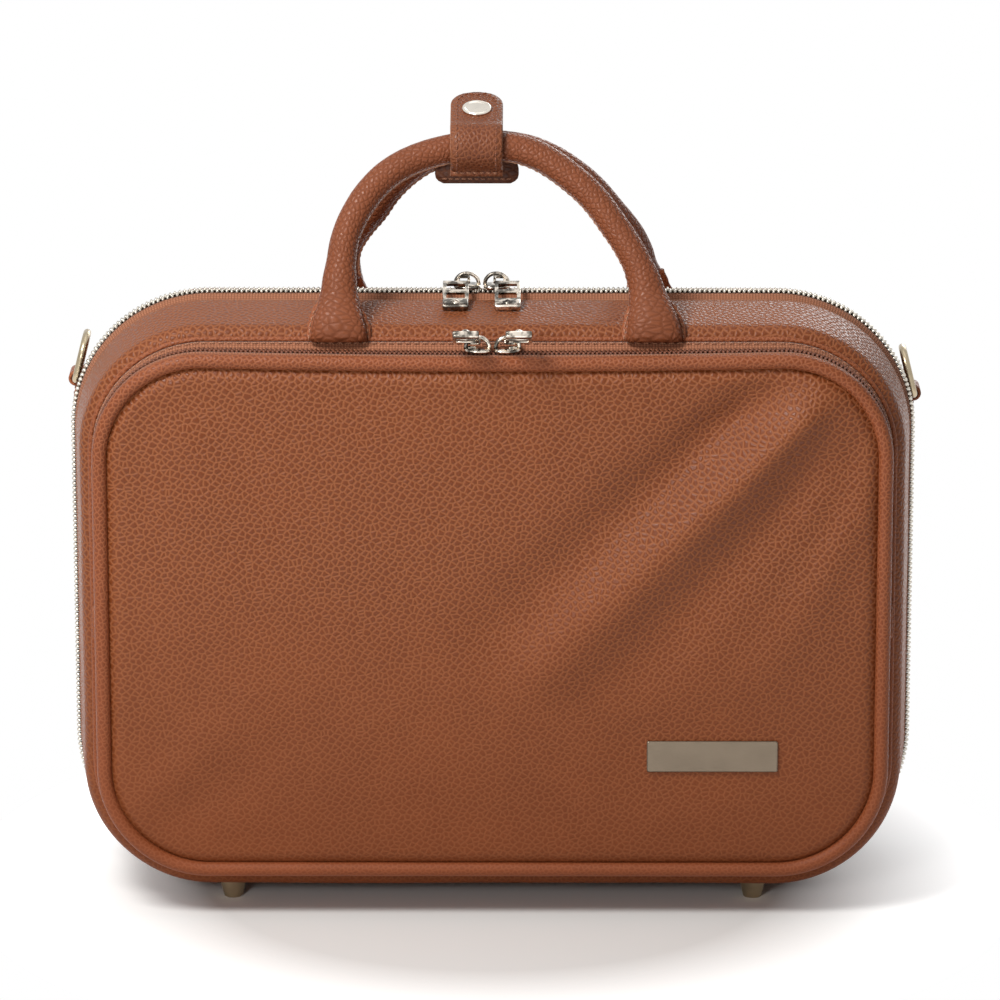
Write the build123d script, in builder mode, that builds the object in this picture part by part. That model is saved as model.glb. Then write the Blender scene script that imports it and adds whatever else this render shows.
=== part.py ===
"""Oboe case: a zipped, soft-sided case that stands on metal feet, with a pocket on its lid.

Millimetres, +Z up. The origin is on the floor, midway between the four feet and under the plane
of the main zip. The pocket faces -Y, and the lid is the half with the pocket.
"""

import os
from math import asin, atan2, cos, degrees, hypot, radians, sin, sqrt, tan

from build123d import *

os.makedirs("parts", exist_ok=True)

# Driving dimensions of the case
case_width = 340.0
case_height = 240.0
half_depth = 42.0
corner_radius = 55.0
edge_radius = 9.0
lid_edge_radius = 6.0
least_edge_radius = 0.8
foot_height = 8.0
taper_start = 11.0
back_taper = 9.5
lid_taper = 4.0

# Walls, from the outside in
cover_wall = 1.4
frame_wall = 4.0
lining_wall = 2.0
cover_rim = 5.5
frame_rim = 11.0
lining_rim = 7.0

# Main zip
teeth_proud = 2.5
teeth_width = 2.1
zip_slit = 1.0
tape_wall = 0.8
zip_gap = 0.3
stop_length = 3.0

# Hinge strip under the case
strip_wall = 2.4
strip_width = 14.0
strip_split = 0.6

# Feet and their screws
foot_from_side = 63.0
foot_y = 30.0
foot_top_radius = 5.75
foot_tip_radius = 3.75
screw_radius = 1.5
screw_head_radius = 2.2
screw_head_height = 1.6
screw_recess = 1.2

# Padded inside
block_clearance = 0.3
block_rim = 8.0
recess_depth = 21.0
recess_gap = 9.0
lower_joint_length = 272.0
upper_joint_length = 246.0
joint_recess_width = 38.0
bell_length = 128.0
bell_recess_width = 50.0
box_length = 112.0
recess_corner = 8.0
lid_pad_wall = 8.0

# Pocket on the lid
pocket_inset = 9.5
pocket_depth = 14.0
gusset_wall = 1.5
piping_radius = 3.0
panel_wall = 3.5
panel_proud = 2.0
pocket_split_rise = 2.0
pocket_split_gap = 0.3
coil_width = 1.3
coil_wall = 1.6
pocket_tape_wall = 0.8
pocket_slit = 0.9
pocket_welt_width = 2.2
zip_end_height = 12.0
zip_end_width = 8.0
zip_end_wall = 1.4

# Metal plate on the pocket
plate_length = 53.0
plate_height = 13.0
plate_wall = 1.2
plate_bevel = 0.4
plate_from_side = 81.0
plate_rise = 61.5
plate_corner = 0.8
plate_pin_x = 20.0
pin_radius = 1.0

# Sliders and pulls
slider_length = 11.0
slider_width = 8.6
slider_wall = 1.4
slider_web = 0.6
slider_nose = 2.1
slider_web_length = 3.0
slider_apart = 1.0
main_slider_x = -4.5
bail_radius = 0.8
bail_post = 1.2
bail_rise = 1.5
pull_length = 25.0
pull_width = 10.5
pull_neck = 4.6
pull_rail = 2.2
pull_corner = 1.6
pull_wall = 1.5
pull_tip_wall = 2.8
pull_tip_length = 5.0
pull_eye_wall = 1.0
pull_eye_clearance = 0.25
eye_shift = 1.3
pull_shift = 3.2
pull_rest_gap = 0.3
pocket_pull_lift = 30.0

# D-rings
ring_wire = 1.6
ring_width = 23.0
ring_height = 21.0
ring_top_corner = 9.0
ring_base_corner = 3.0
ring_y = 15.0
left_ring_drop = 38.0
right_ring_drop = 44.0
ring_lean = 14.0
ring_tab_width = 13.0
ring_tab_wall = 1.3
ring_tab_length = 9.0
ring_clearance = 0.3

# Handles
tab_wall = 2.4
tab_width = 26.0
tab_sweep = 45.0
tab_hinge_gap = 0.3
grip_radius = 6.5
core_radius = 4.5
grip_y = 8.5
grip_rise = 63.5
handle_x = 1.5
handle_skew = 0.068
leg_x = 63.0
knee_x = 60.8
knee_share = 0.395
shoulder_x = 37.0
knee_radius = 60.0
shoulder_radius = 34.0
flange_top_width = 13.0
flange_height = 11.0
tube_start = 6.0

# Wrap round both handles
wrap_x = -6.5
wrap_clearance = 0.3
wrap_wall = 1.4
strap_wall = 1.6
strap_width = 21.5
pad_width = 34.0
loop_fin = 3.0
fin_corner = 3.5
pad_fin = 9.0
fin_wall = 3.0
snap_slope = 25.0
tail_slope = 16.0
snap_radius = 3.5
snap_lower_wall = 1.4
snap_upper_wall = 1.8
snap_gap = 0.35
cap_radius = 5.8
cap_height = 1.8
tail_root_y = -6.0
tail_root_gap = 0.15
tail_tip_y = 18.0

# Places worked out from the driving dimensions
bottom_z = foot_height
top_z = foot_height + case_height
mid_z = foot_height + case_height / 2
inside_inset = cover_wall + frame_wall + lining_wall
floor_y = half_depth - inside_inset
teeth_top_z = top_z + teeth_proud
tape_under_z = top_z - cover_wall - tape_wall
pocket_front_y = -half_depth - pocket_depth
pocket_top_z = top_z - pocket_inset
pocket_zip_y = -half_depth - pocket_depth / 2
panel_front_y = pocket_front_y - panel_proud
straight_x = case_width / 2 - corner_radius
foot_x = case_width / 2 - foot_from_side
pocket_split_z = mid_z + pocket_split_rise
plate_x = case_width / 2 - plate_from_side
plate_z = bottom_z + plate_rise
grip_z = top_z + grip_rise


def facing(y):
    """The plane at one depth, seen from the front: its x along X, its y up, its normal to -Y."""
    return Plane(origin=(0, y, mid_z), x_dir=(1, 0, 0), z_dir=(0, -1, 0))


def across(x):
    """The plane square to X: its x along Y and its y up."""
    return Plane(origin=(x, 0, 0), x_dir=(0, 1, 0), z_dir=(1, 0, 0))


def taper_at(y):
    """How far the top and the two sides have drawn in at one depth. The bottom stays flat."""
    most = back_taper if y > 0 else lid_taper
    return most * max(0.0, abs(y) - taper_start) / (half_depth - taper_start)


def outline(inset, taper=0.0, mode=Mode.ADD):
    """The rounded outline of the case, drawn in by an inset, and at the top and sides by the taper."""
    width = case_width - 2 * inset - 2 * taper
    height = case_height - 2 * inset - taper
    with Locations((0, -taper / 2)):
        RectangleRounded(width, height, corner_radius - inset - taper, mode=mode)


def block(inset, rim_y, face_y):
    """A solid the shape of half the case, from its rim to its rounded outer face."""
    side = 1 if face_y > 0 else -1
    start_y = side * max(abs(rim_y), taper_start)
    radius = edge_radius if side > 0 else lid_edge_radius
    with BuildPart() as solid:
        if abs(rim_y) < taper_start:
            with BuildSketch(facing(start_y)):
                outline(inset)
            extrude(amount=start_y - rim_y)
        for y in (start_y, face_y):
            with BuildSketch(facing(y)):
                outline(inset, taper_at(y))
        loft()
        face = solid.faces().sort_by(Axis.Y)[-1 if side > 0 else 0]
        fillet(face.edges(), max(radius - inset, least_edge_radius))
    return solid.part


def tray(inset, wall, rim_y, face_y):
    """A wall of half the case: the block at one inset less the block inside it."""
    inner_y = face_y - wall if face_y > 0 else face_y + wall
    with BuildPart() as shell:
        add(block(inset, rim_y, face_y))
        add(block(inset + wall, rim_y, inner_y), mode=Mode.SUBTRACT)
    return shell.part


def band(outer_inset, inner_inset, back_y, front_y):
    """A closed band along the outline, between two insets and two depths."""
    with BuildPart() as ring:
        with BuildSketch(facing(back_y)):
            outline(outer_inset)
            outline(inner_inset, mode=Mode.SUBTRACT)
        extrude(amount=back_y - front_y)
    return ring.part


def keep_above(z):
    """Cuts the part in hand at a height and keeps what is above."""
    split(bisect_by=Plane.XY.offset(z), keep=Keep.TOP)


def keep_below(z):
    """Cuts the part in hand at a height and keeps what is below."""
    split(bisect_by=Plane.XY.offset(z), keep=Keep.BOTTOM)


def rod_along_x(radius, length, y, z, x=0.0):
    """A round bar along X."""
    with BuildPart() as rod:
        with BuildSketch(across(x - length / 2)):
            with Locations((y, z)):
                Circle(radius)
        extrude(amount=length)
    return rod.part


def save(shape, name):
    """Labels one finished piece and writes it to its file."""
    shape.label = name
    export_step(shape, f"parts/{name}.step")


def half_shell(name, side):
    """Cover, frame and lining of one half. The side is 1 for the back and -1 for the lid."""
    face_y = side * half_depth
    foot_spots = [(x, side * foot_y) for x in (-foot_x, foot_x)]

    with BuildPart() as cover:
        add(tray(0, cover_wall, side * cover_rim, face_y))
        with Locations([(x, y, bottom_z) for x, y in foot_spots]):
            Cylinder(screw_radius, 4 * cover_wall, mode=Mode.SUBTRACT)
    save(cover.part, f"{name}_cover")

    with BuildPart() as frame:
        add(tray(cover_wall, frame_wall, side * frame_rim, face_y - side * cover_wall))
        with Locations([(x, y, bottom_z + cover_wall) for x, y in foot_spots]):
            Cylinder(screw_radius, 4 * frame_wall, mode=Mode.SUBTRACT)
    save(frame.part, f"{name}_frame")

    lining_inset = cover_wall + frame_wall
    with BuildPart() as lining:
        add(tray(lining_inset, lining_wall, side * lining_rim, face_y - side * lining_inset))
    save(lining.part, f"{name}_lining")


def main_zip(name, side):
    """Tape and row of teeth on one half, open along the bottom between the zip's two ends."""
    teeth_near, teeth_far = side * zip_slit / 2, side * (zip_slit / 2 + teeth_width)
    back_y, front_y = max(teeth_near, teeth_far), min(teeth_near, teeth_far)
    with BuildPart() as chain:
        add(band(-teeth_proud, cover_wall + tape_wall, back_y, front_y))
        with Locations((0, 0, bottom_z)):
            Box(2 * straight_x, 4 * half_depth, 2 * corner_radius, mode=Mode.SUBTRACT)
    save(chain.part, f"{name}_zip_chain")

    tape_end = side * (frame_rim - 0.2)
    back_y, front_y = max(teeth_far, tape_end), min(teeth_far, tape_end)
    with BuildPart() as tape:
        add(band(cover_wall, cover_wall + tape_wall, back_y, front_y))
        with Locations((0, 0, bottom_z)):
            Box(2 * straight_x, 4 * half_depth, 2 * corner_radius, mode=Mode.SUBTRACT)
    save(tape.part, f"{name}_zip_tape")


def zip_stops():
    """A metal stop at each bottom end of the back row of teeth."""
    stop_width = teeth_width + 0.4
    stop_y = zip_slit / 2 + stop_width / 2
    stop_z = bottom_z - teeth_proud / 2 + cover_wall / 2
    with BuildPart() as stops:
        with Locations([(s * (straight_x - stop_length / 2), stop_y, stop_z) for s in (-1, 1)]):
            Box(stop_length, stop_width, teeth_proud + cover_wall)
        chamfer(stops.edges().filter_by(Axis.X), 0.4)
    save(stops.part, "back_zip_stops")


def hinge_strip(name, side):
    """One half of the leather strip that joins lid and back along the bottom."""
    length = 2 * (straight_x - stop_length - zip_gap)
    width = strip_width - strip_split / 2
    middle_y = side * (strip_split / 2 + width / 2)
    with BuildPart() as strip:
        with Locations((0, middle_y, bottom_z - strip_wall / 2)):
            Box(length, width, strip_wall)
        outer = strip.faces().sort_by(Axis.Y)[-1 if side > 0 else 0]
        low = outer.edges().sort_by(Axis.Z)[0]
        fillet(low, strip_wall / 2)
    save(strip.part, f"{name}_hinge_strip")


def feet(name, side):
    """Two tapered metal feet, each with the screw that holds it to the board frame."""
    with BuildPart() as foot_pair:
        for x in (-foot_x, foot_x):
            with Locations((x, side * foot_y, foot_height / 2)):
                Cone(foot_tip_radius, foot_top_radius, foot_height)
        fillet(foot_pair.edges().filter_by(GeomType.CIRCLE).group_by(Axis.Z)[0], 0.6)
        with Locations([(x, side * foot_y, foot_height / 2) for x in (-foot_x, foot_x)]):
            Cylinder(screw_radius, 2 * foot_height, mode=Mode.SUBTRACT)
        head_space = screw_recess + screw_head_height
        with Locations([(x, side * foot_y, head_space / 2) for x in (-foot_x, foot_x)]):
            Cylinder(screw_head_radius, head_space, mode=Mode.SUBTRACT)
    save(foot_pair.part, f"{name}_feet")

    shank_top = bottom_z + cover_wall + frame_wall
    on_base = (Align.CENTER, Align.CENTER, Align.MIN)
    with BuildPart() as screws:
        for x in (-foot_x, foot_x):
            with Locations((x, side * foot_y, screw_recess)):
                Cylinder(screw_head_radius, screw_head_height, align=on_base)
                Cylinder(screw_radius, shank_top - screw_recess, align=on_base)
    save(screws.part, f"{name}_foot_screws")


def instrument_block():
    """Padded block in the back half, with a recess for each piece of the oboe."""
    rows_height = 2 * joint_recess_width + bell_recess_width + 2 * recess_gap
    low = mid_z - rows_height / 2
    bell_z = low + bell_recess_width / 2
    lower_joint_z = low + bell_recess_width + recess_gap + joint_recess_width / 2
    upper_joint_z = lower_joint_z + joint_recess_width + recess_gap
    ends_x = lower_joint_length / 2
    recesses = (
        (0.0, lower_joint_z, lower_joint_length, joint_recess_width),
        (0.0, upper_joint_z, upper_joint_length, joint_recess_width),
        (ends_x - bell_length / 2, bell_z, bell_length, bell_recess_width),
        (box_length / 2 - ends_x, bell_z, box_length, bell_recess_width),
    )
    with BuildPart() as padding:
        add(block(inside_inset + block_clearance, block_rim, floor_y - block_clearance))
        with BuildSketch(facing(block_rim + recess_depth)):
            for x, z, length, width in recesses:
                with Locations((x, z - mid_z)):
                    RectangleRounded(length, width, recess_corner)
        extrude(amount=recess_depth, mode=Mode.SUBTRACT)
    save(padding.part, "instrument_block")


def lid_pad():
    """Cushion on the lid's lining that holds the oboe in its recesses."""
    face_y = -floor_y + block_clearance
    with BuildPart() as cushion:
        add(block(inside_inset + 4 * block_clearance, face_y + lid_pad_wall, face_y))
        soft = cushion.faces().sort_by(Axis.Y)[-1]
        fillet(soft.edges(), lid_pad_wall / 2)
    save(cushion.part, "lid_pad")


def handle_tabs(name, side):
    """Two leather tabs sewn over the rounded top edge, from the seam up to the handle's fold."""
    centre_y, centre_z, inner = edge_arc(side)
    outer = inner + tab_wall
    with BuildPart() as tabs:
        for x in (handle_x - leg_x, handle_x + leg_x):
            with BuildSketch(across(x - tab_width / 2)):
                with BuildLine():
                    low = (centre_y + side * inner, centre_z)
                    low_out = (centre_y + side * outer, centre_z)
                    high = arc_point(side, inner, tab_sweep)
                    mid = arc_point(side, inner, tab_sweep / 2)
                    high_out = arc_point(side, outer, tab_sweep)
                    mid_out = arc_point(side, outer, tab_sweep / 2)
                    Line(low, low_out)
                    ThreePointArc(low_out, mid_out, high_out)
                    Line(high_out, high)
                    ThreePointArc(high, mid, low)
                make_face()
            extrude(amount=tab_width)
    save(tabs.part, f"{name}_handle_tabs")


def edge_arc(side):
    """Centre and radius of one half's rounded top edge, as Y, Z and radius."""
    radius = edge_radius if side > 0 else lid_edge_radius
    centre_y = side * (half_depth - radius)
    slope = atan2(taper_at(side * half_depth), half_depth - taper_start)
    return centre_y, top_z - taper_at(centre_y) - radius / cos(slope), radius


def arc_point(side, radius, angle):
    """A point round the top edge's centre, at an angle up from level, as Y and Z."""
    centre_y, centre_z, _ = edge_arc(side)
    return (centre_y + side * radius * cos(radians(angle)), centre_z + radius * sin(radians(angle)))


def handle_plane(side):
    """The middle plane of one handle, x along X, y up its lean, origin by its fold; and its rise."""
    fold_y, fold_z = arc_point(side, edge_arc(side)[2] + tab_wall, tab_sweep)
    inward, up = abs(fold_y) - grip_y, grip_z - fold_z
    lean = atan2(inward, up) - asin(tab_wall / 2 / hypot(inward, up))
    along = Vector(0, -side * sin(lean), cos(lean))
    outward = Vector(0, side * cos(lean), sin(lean))
    origin = Vector(handle_x, fold_y, fold_z) - outward * (tab_wall / 2)
    rise = sqrt(inward**2 + up**2 - (tab_wall / 2) ** 2)
    return Plane(origin, x_dir=(1, 0, 0), z_dir=Vector(1, 0, 0).cross(along)), rise


def handle(name, side):
    """Rolled leather grip with a flat flange at each end, and the round core inside it."""
    plane, handle_rise = handle_plane(side)
    knee_v = knee_share * handle_rise
    start_x = leg_x + (knee_x - leg_x) * tube_start / knee_v
    points = [(start_x, tube_start), (knee_x, knee_v), (shoulder_x, handle_rise)]
    points += [(-x, v) for x, v in reversed(points)]
    points = [(x - handle_skew * v, v) for x, v in points]
    radii = [knee_radius, shoulder_radius, shoulder_radius, knee_radius]
    with BuildLine(plane) as route:
        FilletPolyline(*points, radius=radii)
    start = Plane(route.line @ 0, x_dir=plane.z_dir, z_dir=route.line % 0)

    with BuildPart() as core:
        with BuildSketch(start):
            Circle(core_radius)
        sweep(path=route.line)
    save(core.part, f"{name}_grip_core")

    with BuildPart() as grip:
        with BuildSketch(start):
            Circle(grip_radius)
        sweep(path=route.line)
        for x in (-leg_x, leg_x):
            with BuildSketch(plane.offset(-tab_wall / 2)):
                with Locations((x, tab_hinge_gap)):
                    Trapezoid(
                        tab_width, flange_height, flange_angle(), align=(Align.CENTER, Align.MIN)
                    )
            extrude(amount=tab_wall)
        add(core.part, mode=Mode.SUBTRACT)
    save(grip.part, f"{name}_grip")


def flange_angle():
    """Base angle of the flange that narrows from the tab's width to the tube's."""
    return degrees(atan2(flange_height, (tab_width - flange_top_width) / 2))


def fin(width, length, y, radius):
    """The sewn lower edge of a wrap, hanging from a loop of one radius round a handle."""
    top = grip_z - radius + wrap_wall / 2
    with BuildPart() as edge:
        with BuildSketch(Plane.XZ.offset(-y - fin_wall / 2)):
            with Locations((wrap_x, top - length / 2)):
                RectangleRounded(width, length, min(fin_corner, 0.45 * length))
        extrude(amount=fin_wall)
    return edge.part


loop_radius = grip_radius + wrap_clearance + wrap_wall
snap_n = Vector(0, -sin(radians(snap_slope)), cos(radians(snap_slope)))
tail_n = Vector(0, -sin(radians(tail_slope)), cos(radians(tail_slope)))
back_grip_centre = Vector(wrap_x, grip_y, grip_z)
snap_face = back_grip_centre + snap_n * (loop_radius + snap_lower_wall)
tail_under = snap_face + snap_n * snap_gap + tail_n * snap_upper_wall


def tail_height(y):
    """Height of the tail's underside at one depth."""
    return tail_under.Z + (y - tail_under.Y) * tan(radians(tail_slope))


def wrap():
    """Loop on the front handle, pad on the back one, and the tail with its snap."""
    bore = grip_radius + wrap_clearance
    strap_radius = loop_radius + strap_wall
    with BuildPart() as loop:
        add(rod_along_x(loop_radius, strap_width, -grip_y, grip_z, wrap_x))
        add(fin(strap_width, loop_fin + wrap_wall, -grip_y - fin_wall / 2, loop_radius))
        with BuildSketch(across(wrap_x - strap_width / 2)):
            with Locations((-grip_y, grip_z)):
                Circle(strap_radius)
            with Locations((-grip_y + strap_radius, grip_z)):
                Rectangle(2 * strap_radius, 2 * strap_radius, mode=Mode.SUBTRACT)
        extrude(amount=strap_width)
        root_y = tail_root_y - tail_root_gap
        root = Vector(wrap_x, root_y, tail_height(root_y))
        root_top = root + tail_n * strap_wall
        with BuildSketch(across(wrap_x - strap_width / 2)):
            with BuildLine():
                Polyline(
                    (-grip_y, grip_z + bore),
                    (root.Y, grip_z + bore),
                    (root.Y, root.Z),
                    (root_top.Y, root_top.Z),
                    (-grip_y, grip_z + strap_radius),
                    close=True,
                )
            make_face()
        extrude(amount=strap_width)
        add(rod_along_x(bore, 2 * strap_width, -grip_y, grip_z, wrap_x), mode=Mode.SUBTRACT)
    save(loop.part, "wrap_loop")

    with BuildPart() as pad:
        add(rod_along_x(loop_radius, pad_width, grip_y, grip_z, wrap_x))
        add(fin(pad_width, pad_fin + wrap_wall, grip_y, loop_radius))
        add(rod_along_x(bore, 2 * pad_width, grip_y, grip_z, wrap_x), mode=Mode.SUBTRACT)
    save(pad.part, "wrap_pad")

    with BuildPart() as lower_disc:
        with BuildSketch(Plane(snap_face, x_dir=(1, 0, 0), z_dir=snap_n)):
            Circle(snap_radius)
        extrude(amount=-2 * snap_lower_wall)
        add(rod_along_x(loop_radius, 2 * pad_width, grip_y, grip_z, wrap_x), mode=Mode.SUBTRACT)
    save(lower_disc.part, "snap_disc_lower")

    upper_face = snap_face + snap_n * snap_gap
    with BuildPart() as upper_disc:
        with BuildSketch(Plane(tail_under, x_dir=(1, 0, 0), z_dir=tail_n)):
            Circle(snap_radius)
        extrude(amount=-2 * snap_upper_wall)
        split(bisect_by=Plane(upper_face, x_dir=(1, 0, 0), z_dir=snap_n), keep=Keep.TOP)
    save(upper_disc.part, "snap_disc_upper")

    tail_length = (tail_tip_y - tail_root_y) / cos(radians(tail_slope))
    root_point = Vector(wrap_x, tail_root_y, tail_height(tail_root_y))
    with BuildPart() as tail:
        with BuildSketch(Plane(root_point, x_dir=(1, 0, 0), z_dir=tail_n)) as tail_outline:
            with Locations((0, tail_length / 2)):
                Rectangle(strap_width, tail_length)
            tip = tail_outline.vertices().group_by(Axis.Y)[-1]
            fillet(tip, 0.42 * strap_width)
        extrude(amount=strap_wall)
    save(tail.part, "wrap_tail")

    cap_base = tail_under + tail_n * strap_wall
    dome_radius = (cap_radius**2 + cap_height**2) / (2 * cap_height)
    with BuildPart() as cap:
        with BuildSketch(Plane(cap_base, x_dir=(1, 0, 0), z_dir=tail_n)):
            Circle(cap_radius)
        extrude(amount=cap_height)
        with Locations(Location(cap_base + tail_n * (cap_height - dome_radius))):
            Sphere(dome_radius, mode=Mode.INTERSECT)
    save(cap.part, "snap_cap")


def slider(name, x, y, teeth_z, under_z, outward):
    """Slider body: plates over and under the zip, the web between them and the bail on top."""
    top = teeth_z + zip_gap
    under = under_z - zip_gap
    bar_z = top + slider_wall + bail_rise + bail_radius
    with BuildPart() as body:
        with Locations((x, y, top + slider_wall / 2)):
            Box(slider_length, slider_width, slider_wall)
        chamfer(body.edges().filter_by(Axis.Z), 1.6)
        with Locations((x, y, under - slider_wall / 2)):
            Box(slider_length - 1.0, slider_width - 1.0, slider_wall)
        web_x = x - outward * (slider_length / 2 - slider_nose)
        with Locations((web_x, y, (top + under) / 2)):
            Box(slider_web_length, slider_web, top - under + slider_wall)
        for end in (-1, 1):
            post_x = x + end * (slider_length / 2 - bail_post / 2 - 0.4)
            with Locations((post_x, y, (top + bar_z) / 2 + bail_radius / 2)):
                Box(bail_post, 2 * bail_radius, bar_z - top + bail_radius)
        add(rod_along_x(bail_radius, slider_length - 2.0, y, bar_z, x))
    save(body.part, name)
    return bar_z


def pull(name, x, y, bar_z, outward, angle):
    """Pull tab: an eye round the bail, a ladder of two windows and a thick end with a small stud."""
    turn = radians(angle)
    along = Vector(0, -cos(turn), sin(turn))
    centre = Vector(x + outward * eye_shift, y, bar_z)
    plane = Plane(centre, x_dir=(1, 0, 0), z_dir=Vector(1, 0, 0).cross(along))
    eye_bore = bail_radius + pull_eye_clearance
    eye_radius = eye_bore + pull_eye_wall
    body_start = eye_radius + 1.2
    body_length = pull_length - body_start
    window_width = pull_width - 2 * pull_rail
    with BuildPart() as tab:
        with BuildSketch(plane.offset(-pull_wall / 2)):
            with Locations((0, body_start / 2 + 1.0)):
                Rectangle(pull_neck, body_start + 2.0)
            with Locations((outward * pull_shift, body_start + body_length / 2)):
                RectangleRounded(pull_width, body_length, pull_corner)
            with Locations((outward * pull_shift, body_start + 0.24 * body_length)):
                Rectangle(window_width, 0.18 * body_length, mode=Mode.SUBTRACT)
            with Locations((outward * pull_shift, body_start + 0.54 * body_length)):
                Rectangle(window_width, 0.26 * body_length, mode=Mode.SUBTRACT)
        extrude(amount=pull_wall)
        with BuildSketch(plane.offset(-pull_tip_wall / 2)):
            with Locations((outward * pull_shift, pull_length - pull_tip_length / 2)):
                RectangleRounded(pull_width, pull_tip_length, pull_corner)
        extrude(amount=pull_tip_wall)
        add(rod_along_x(eye_radius, pull_neck, y, bar_z, centre.X))
        add(rod_along_x(eye_bore, 2 * pull_neck, y, bar_z, centre.X), mode=Mode.SUBTRACT)
    save(tab.part, name)


def sliders_and_pulls():
    """Main and pocket sliders with their pulls, a pair on each zip, nose to nose at the middle."""
    for side, outward in (("left", -1), ("right", 1)):
        x = outward * (slider_length / 2 + slider_apart / 2)
        main_x = main_slider_x + x
        bar_z = slider(f"main_slider_{side}", main_x, 0, teeth_top_z, tape_under_z, outward)
        rest_z = top_z - taper_at(-pull_length) + pull_rest_gap
        drop = bar_z - rest_z - pull_tip_wall / 2
        pull(f"main_pull_{side}", main_x, 0, bar_z, outward, -degrees(asin(drop / pull_length)))

        coil_under = pocket_top_z - coil_wall
        bar_z = slider(f"pocket_slider_{side}", x, pocket_zip_y, pocket_top_z, coil_under, outward)
        pull(f"pocket_pull_{side}", x, pocket_zip_y, bar_z, outward, pocket_pull_lift)


def pocket_band(name, outer, inner, back_y, front_y, trim, height, cut):
    """One band of the pocket's side wall, cut at the split, and by the piping where it meets it."""
    with BuildPart() as strip:
        add(band(outer, inner, back_y, front_y))
        trim(height)
        if cut is not None:
            add(cut, mode=Mode.SUBTRACT)
    save(strip.part, name)


def pocket():
    """Pocket on the lid: fixed lower half, and the flap that its zip frees."""
    coil_back = pocket_zip_y + pocket_slit / 2 + coil_width
    coil_front = pocket_zip_y - pocket_slit / 2 - coil_width
    tape_back = -half_depth - pocket_welt_width
    coil_inner = pocket_inset + coil_wall
    tape_outer = coil_inner - pocket_tape_wall
    gusset_inner = pocket_inset + gusset_wall
    upper, lower = pocket_split_z + pocket_split_gap / 2, pocket_split_z - pocket_split_gap / 2
    coil_back_end, coil_front_end = coil_back - coil_width, coil_front + coil_width
    piping = piping_ring()

    for name, outer, inner, back_y, front_y, cut in (
        ("back_welt", pocket_inset, gusset_inner, -half_depth, tape_back, None),
        ("back_tape", tape_outer, coil_inner, tape_back, coil_back, None),
        ("back_coil", pocket_inset, coil_inner, coil_back, coil_back_end, None),
        ("front_coil", pocket_inset, coil_inner, coil_front_end, coil_front, None),
        ("front_tape", tape_outer, coil_inner, coil_front, pocket_front_y, piping),
    ):
        pocket_band(f"pocket_{name}", outer, inner, back_y, front_y, keep_above, upper, cut)
    pocket_band(
        "pocket_lower_gusset", pocket_inset, gusset_inner, -half_depth, pocket_front_y,
        keep_below, lower, piping,
    )

    for name, trim, height in (("pocket_lower", keep_below, lower), ("pocket", keep_above, upper)):
        with BuildPart() as cord:
            add(piping)
            trim(height)
        save(cord.part, f"{name}_piping")
        with BuildPart() as panel:
            with BuildSketch(facing(panel_front_y + panel_wall)):
                outline(pocket_inset + piping_radius)
            extrude(amount=panel_wall)
            add(piping, mode=Mode.SUBTRACT)
            trim(height)
            add(plate_pins(), mode=Mode.SUBTRACT)
        save(panel.part, f"{name}_panel")

    side_x = case_width / 2 - pocket_inset + zip_end_wall / 2
    with BuildPart() as zip_ends:
        with Locations([(x, pocket_zip_y, lower - zip_end_height / 2) for x in (-side_x, side_x)]):
            Box(zip_end_wall, zip_end_width, zip_end_height)
        fillet(zip_ends.edges().filter_by(Axis.X), 1.5)
    save(zip_ends.part, "pocket_zip_ends")


def piping_ring():
    """Round piping along the front edge of the pocket."""
    with BuildSketch(facing(pocket_front_y)) as edge:
        outline(pocket_inset + piping_radius)
    path = edge.sketch.faces()[0].outer_wire()
    with BuildPart() as ring:
        with BuildSketch(Plane(path @ 0, z_dir=path % 0)):
            Circle(piping_radius)
        sweep(path=path)
    return ring.part


def plate_pins():
    """Two pins that hold the metal plate, through the pocket's panel."""
    with BuildPart() as pins:
        with BuildSketch(facing(panel_front_y + panel_wall)):
            with Locations([(plate_x + s * plate_pin_x, plate_z - mid_z) for s in (-1, 1)]):
                Circle(pin_radius)
        extrude(amount=panel_wall)
    return pins.part


def nameplate():
    """Plain metal plate with a bevelled edge, low on the pocket."""
    with BuildPart() as plate:
        with BuildSketch(facing(panel_front_y)):
            with Locations((plate_x, plate_z - mid_z)):
                RectangleRounded(plate_length, plate_height, plate_corner)
        extrude(amount=plate_wall)
        chamfer(plate.faces().sort_by(Axis.Y)[0].edges(), plate_bevel)
    save(plate.part, "nameplate")
    save(plate_pins(), "nameplate_pins")


def corner_point(side, radius, angle):
    """A point round the case's upper corner, at an angle up from level, as X and Z."""
    x = straight_x + radius * cos(radians(angle))
    return (side * x, top_z - corner_radius + radius * sin(radians(angle)))


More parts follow.
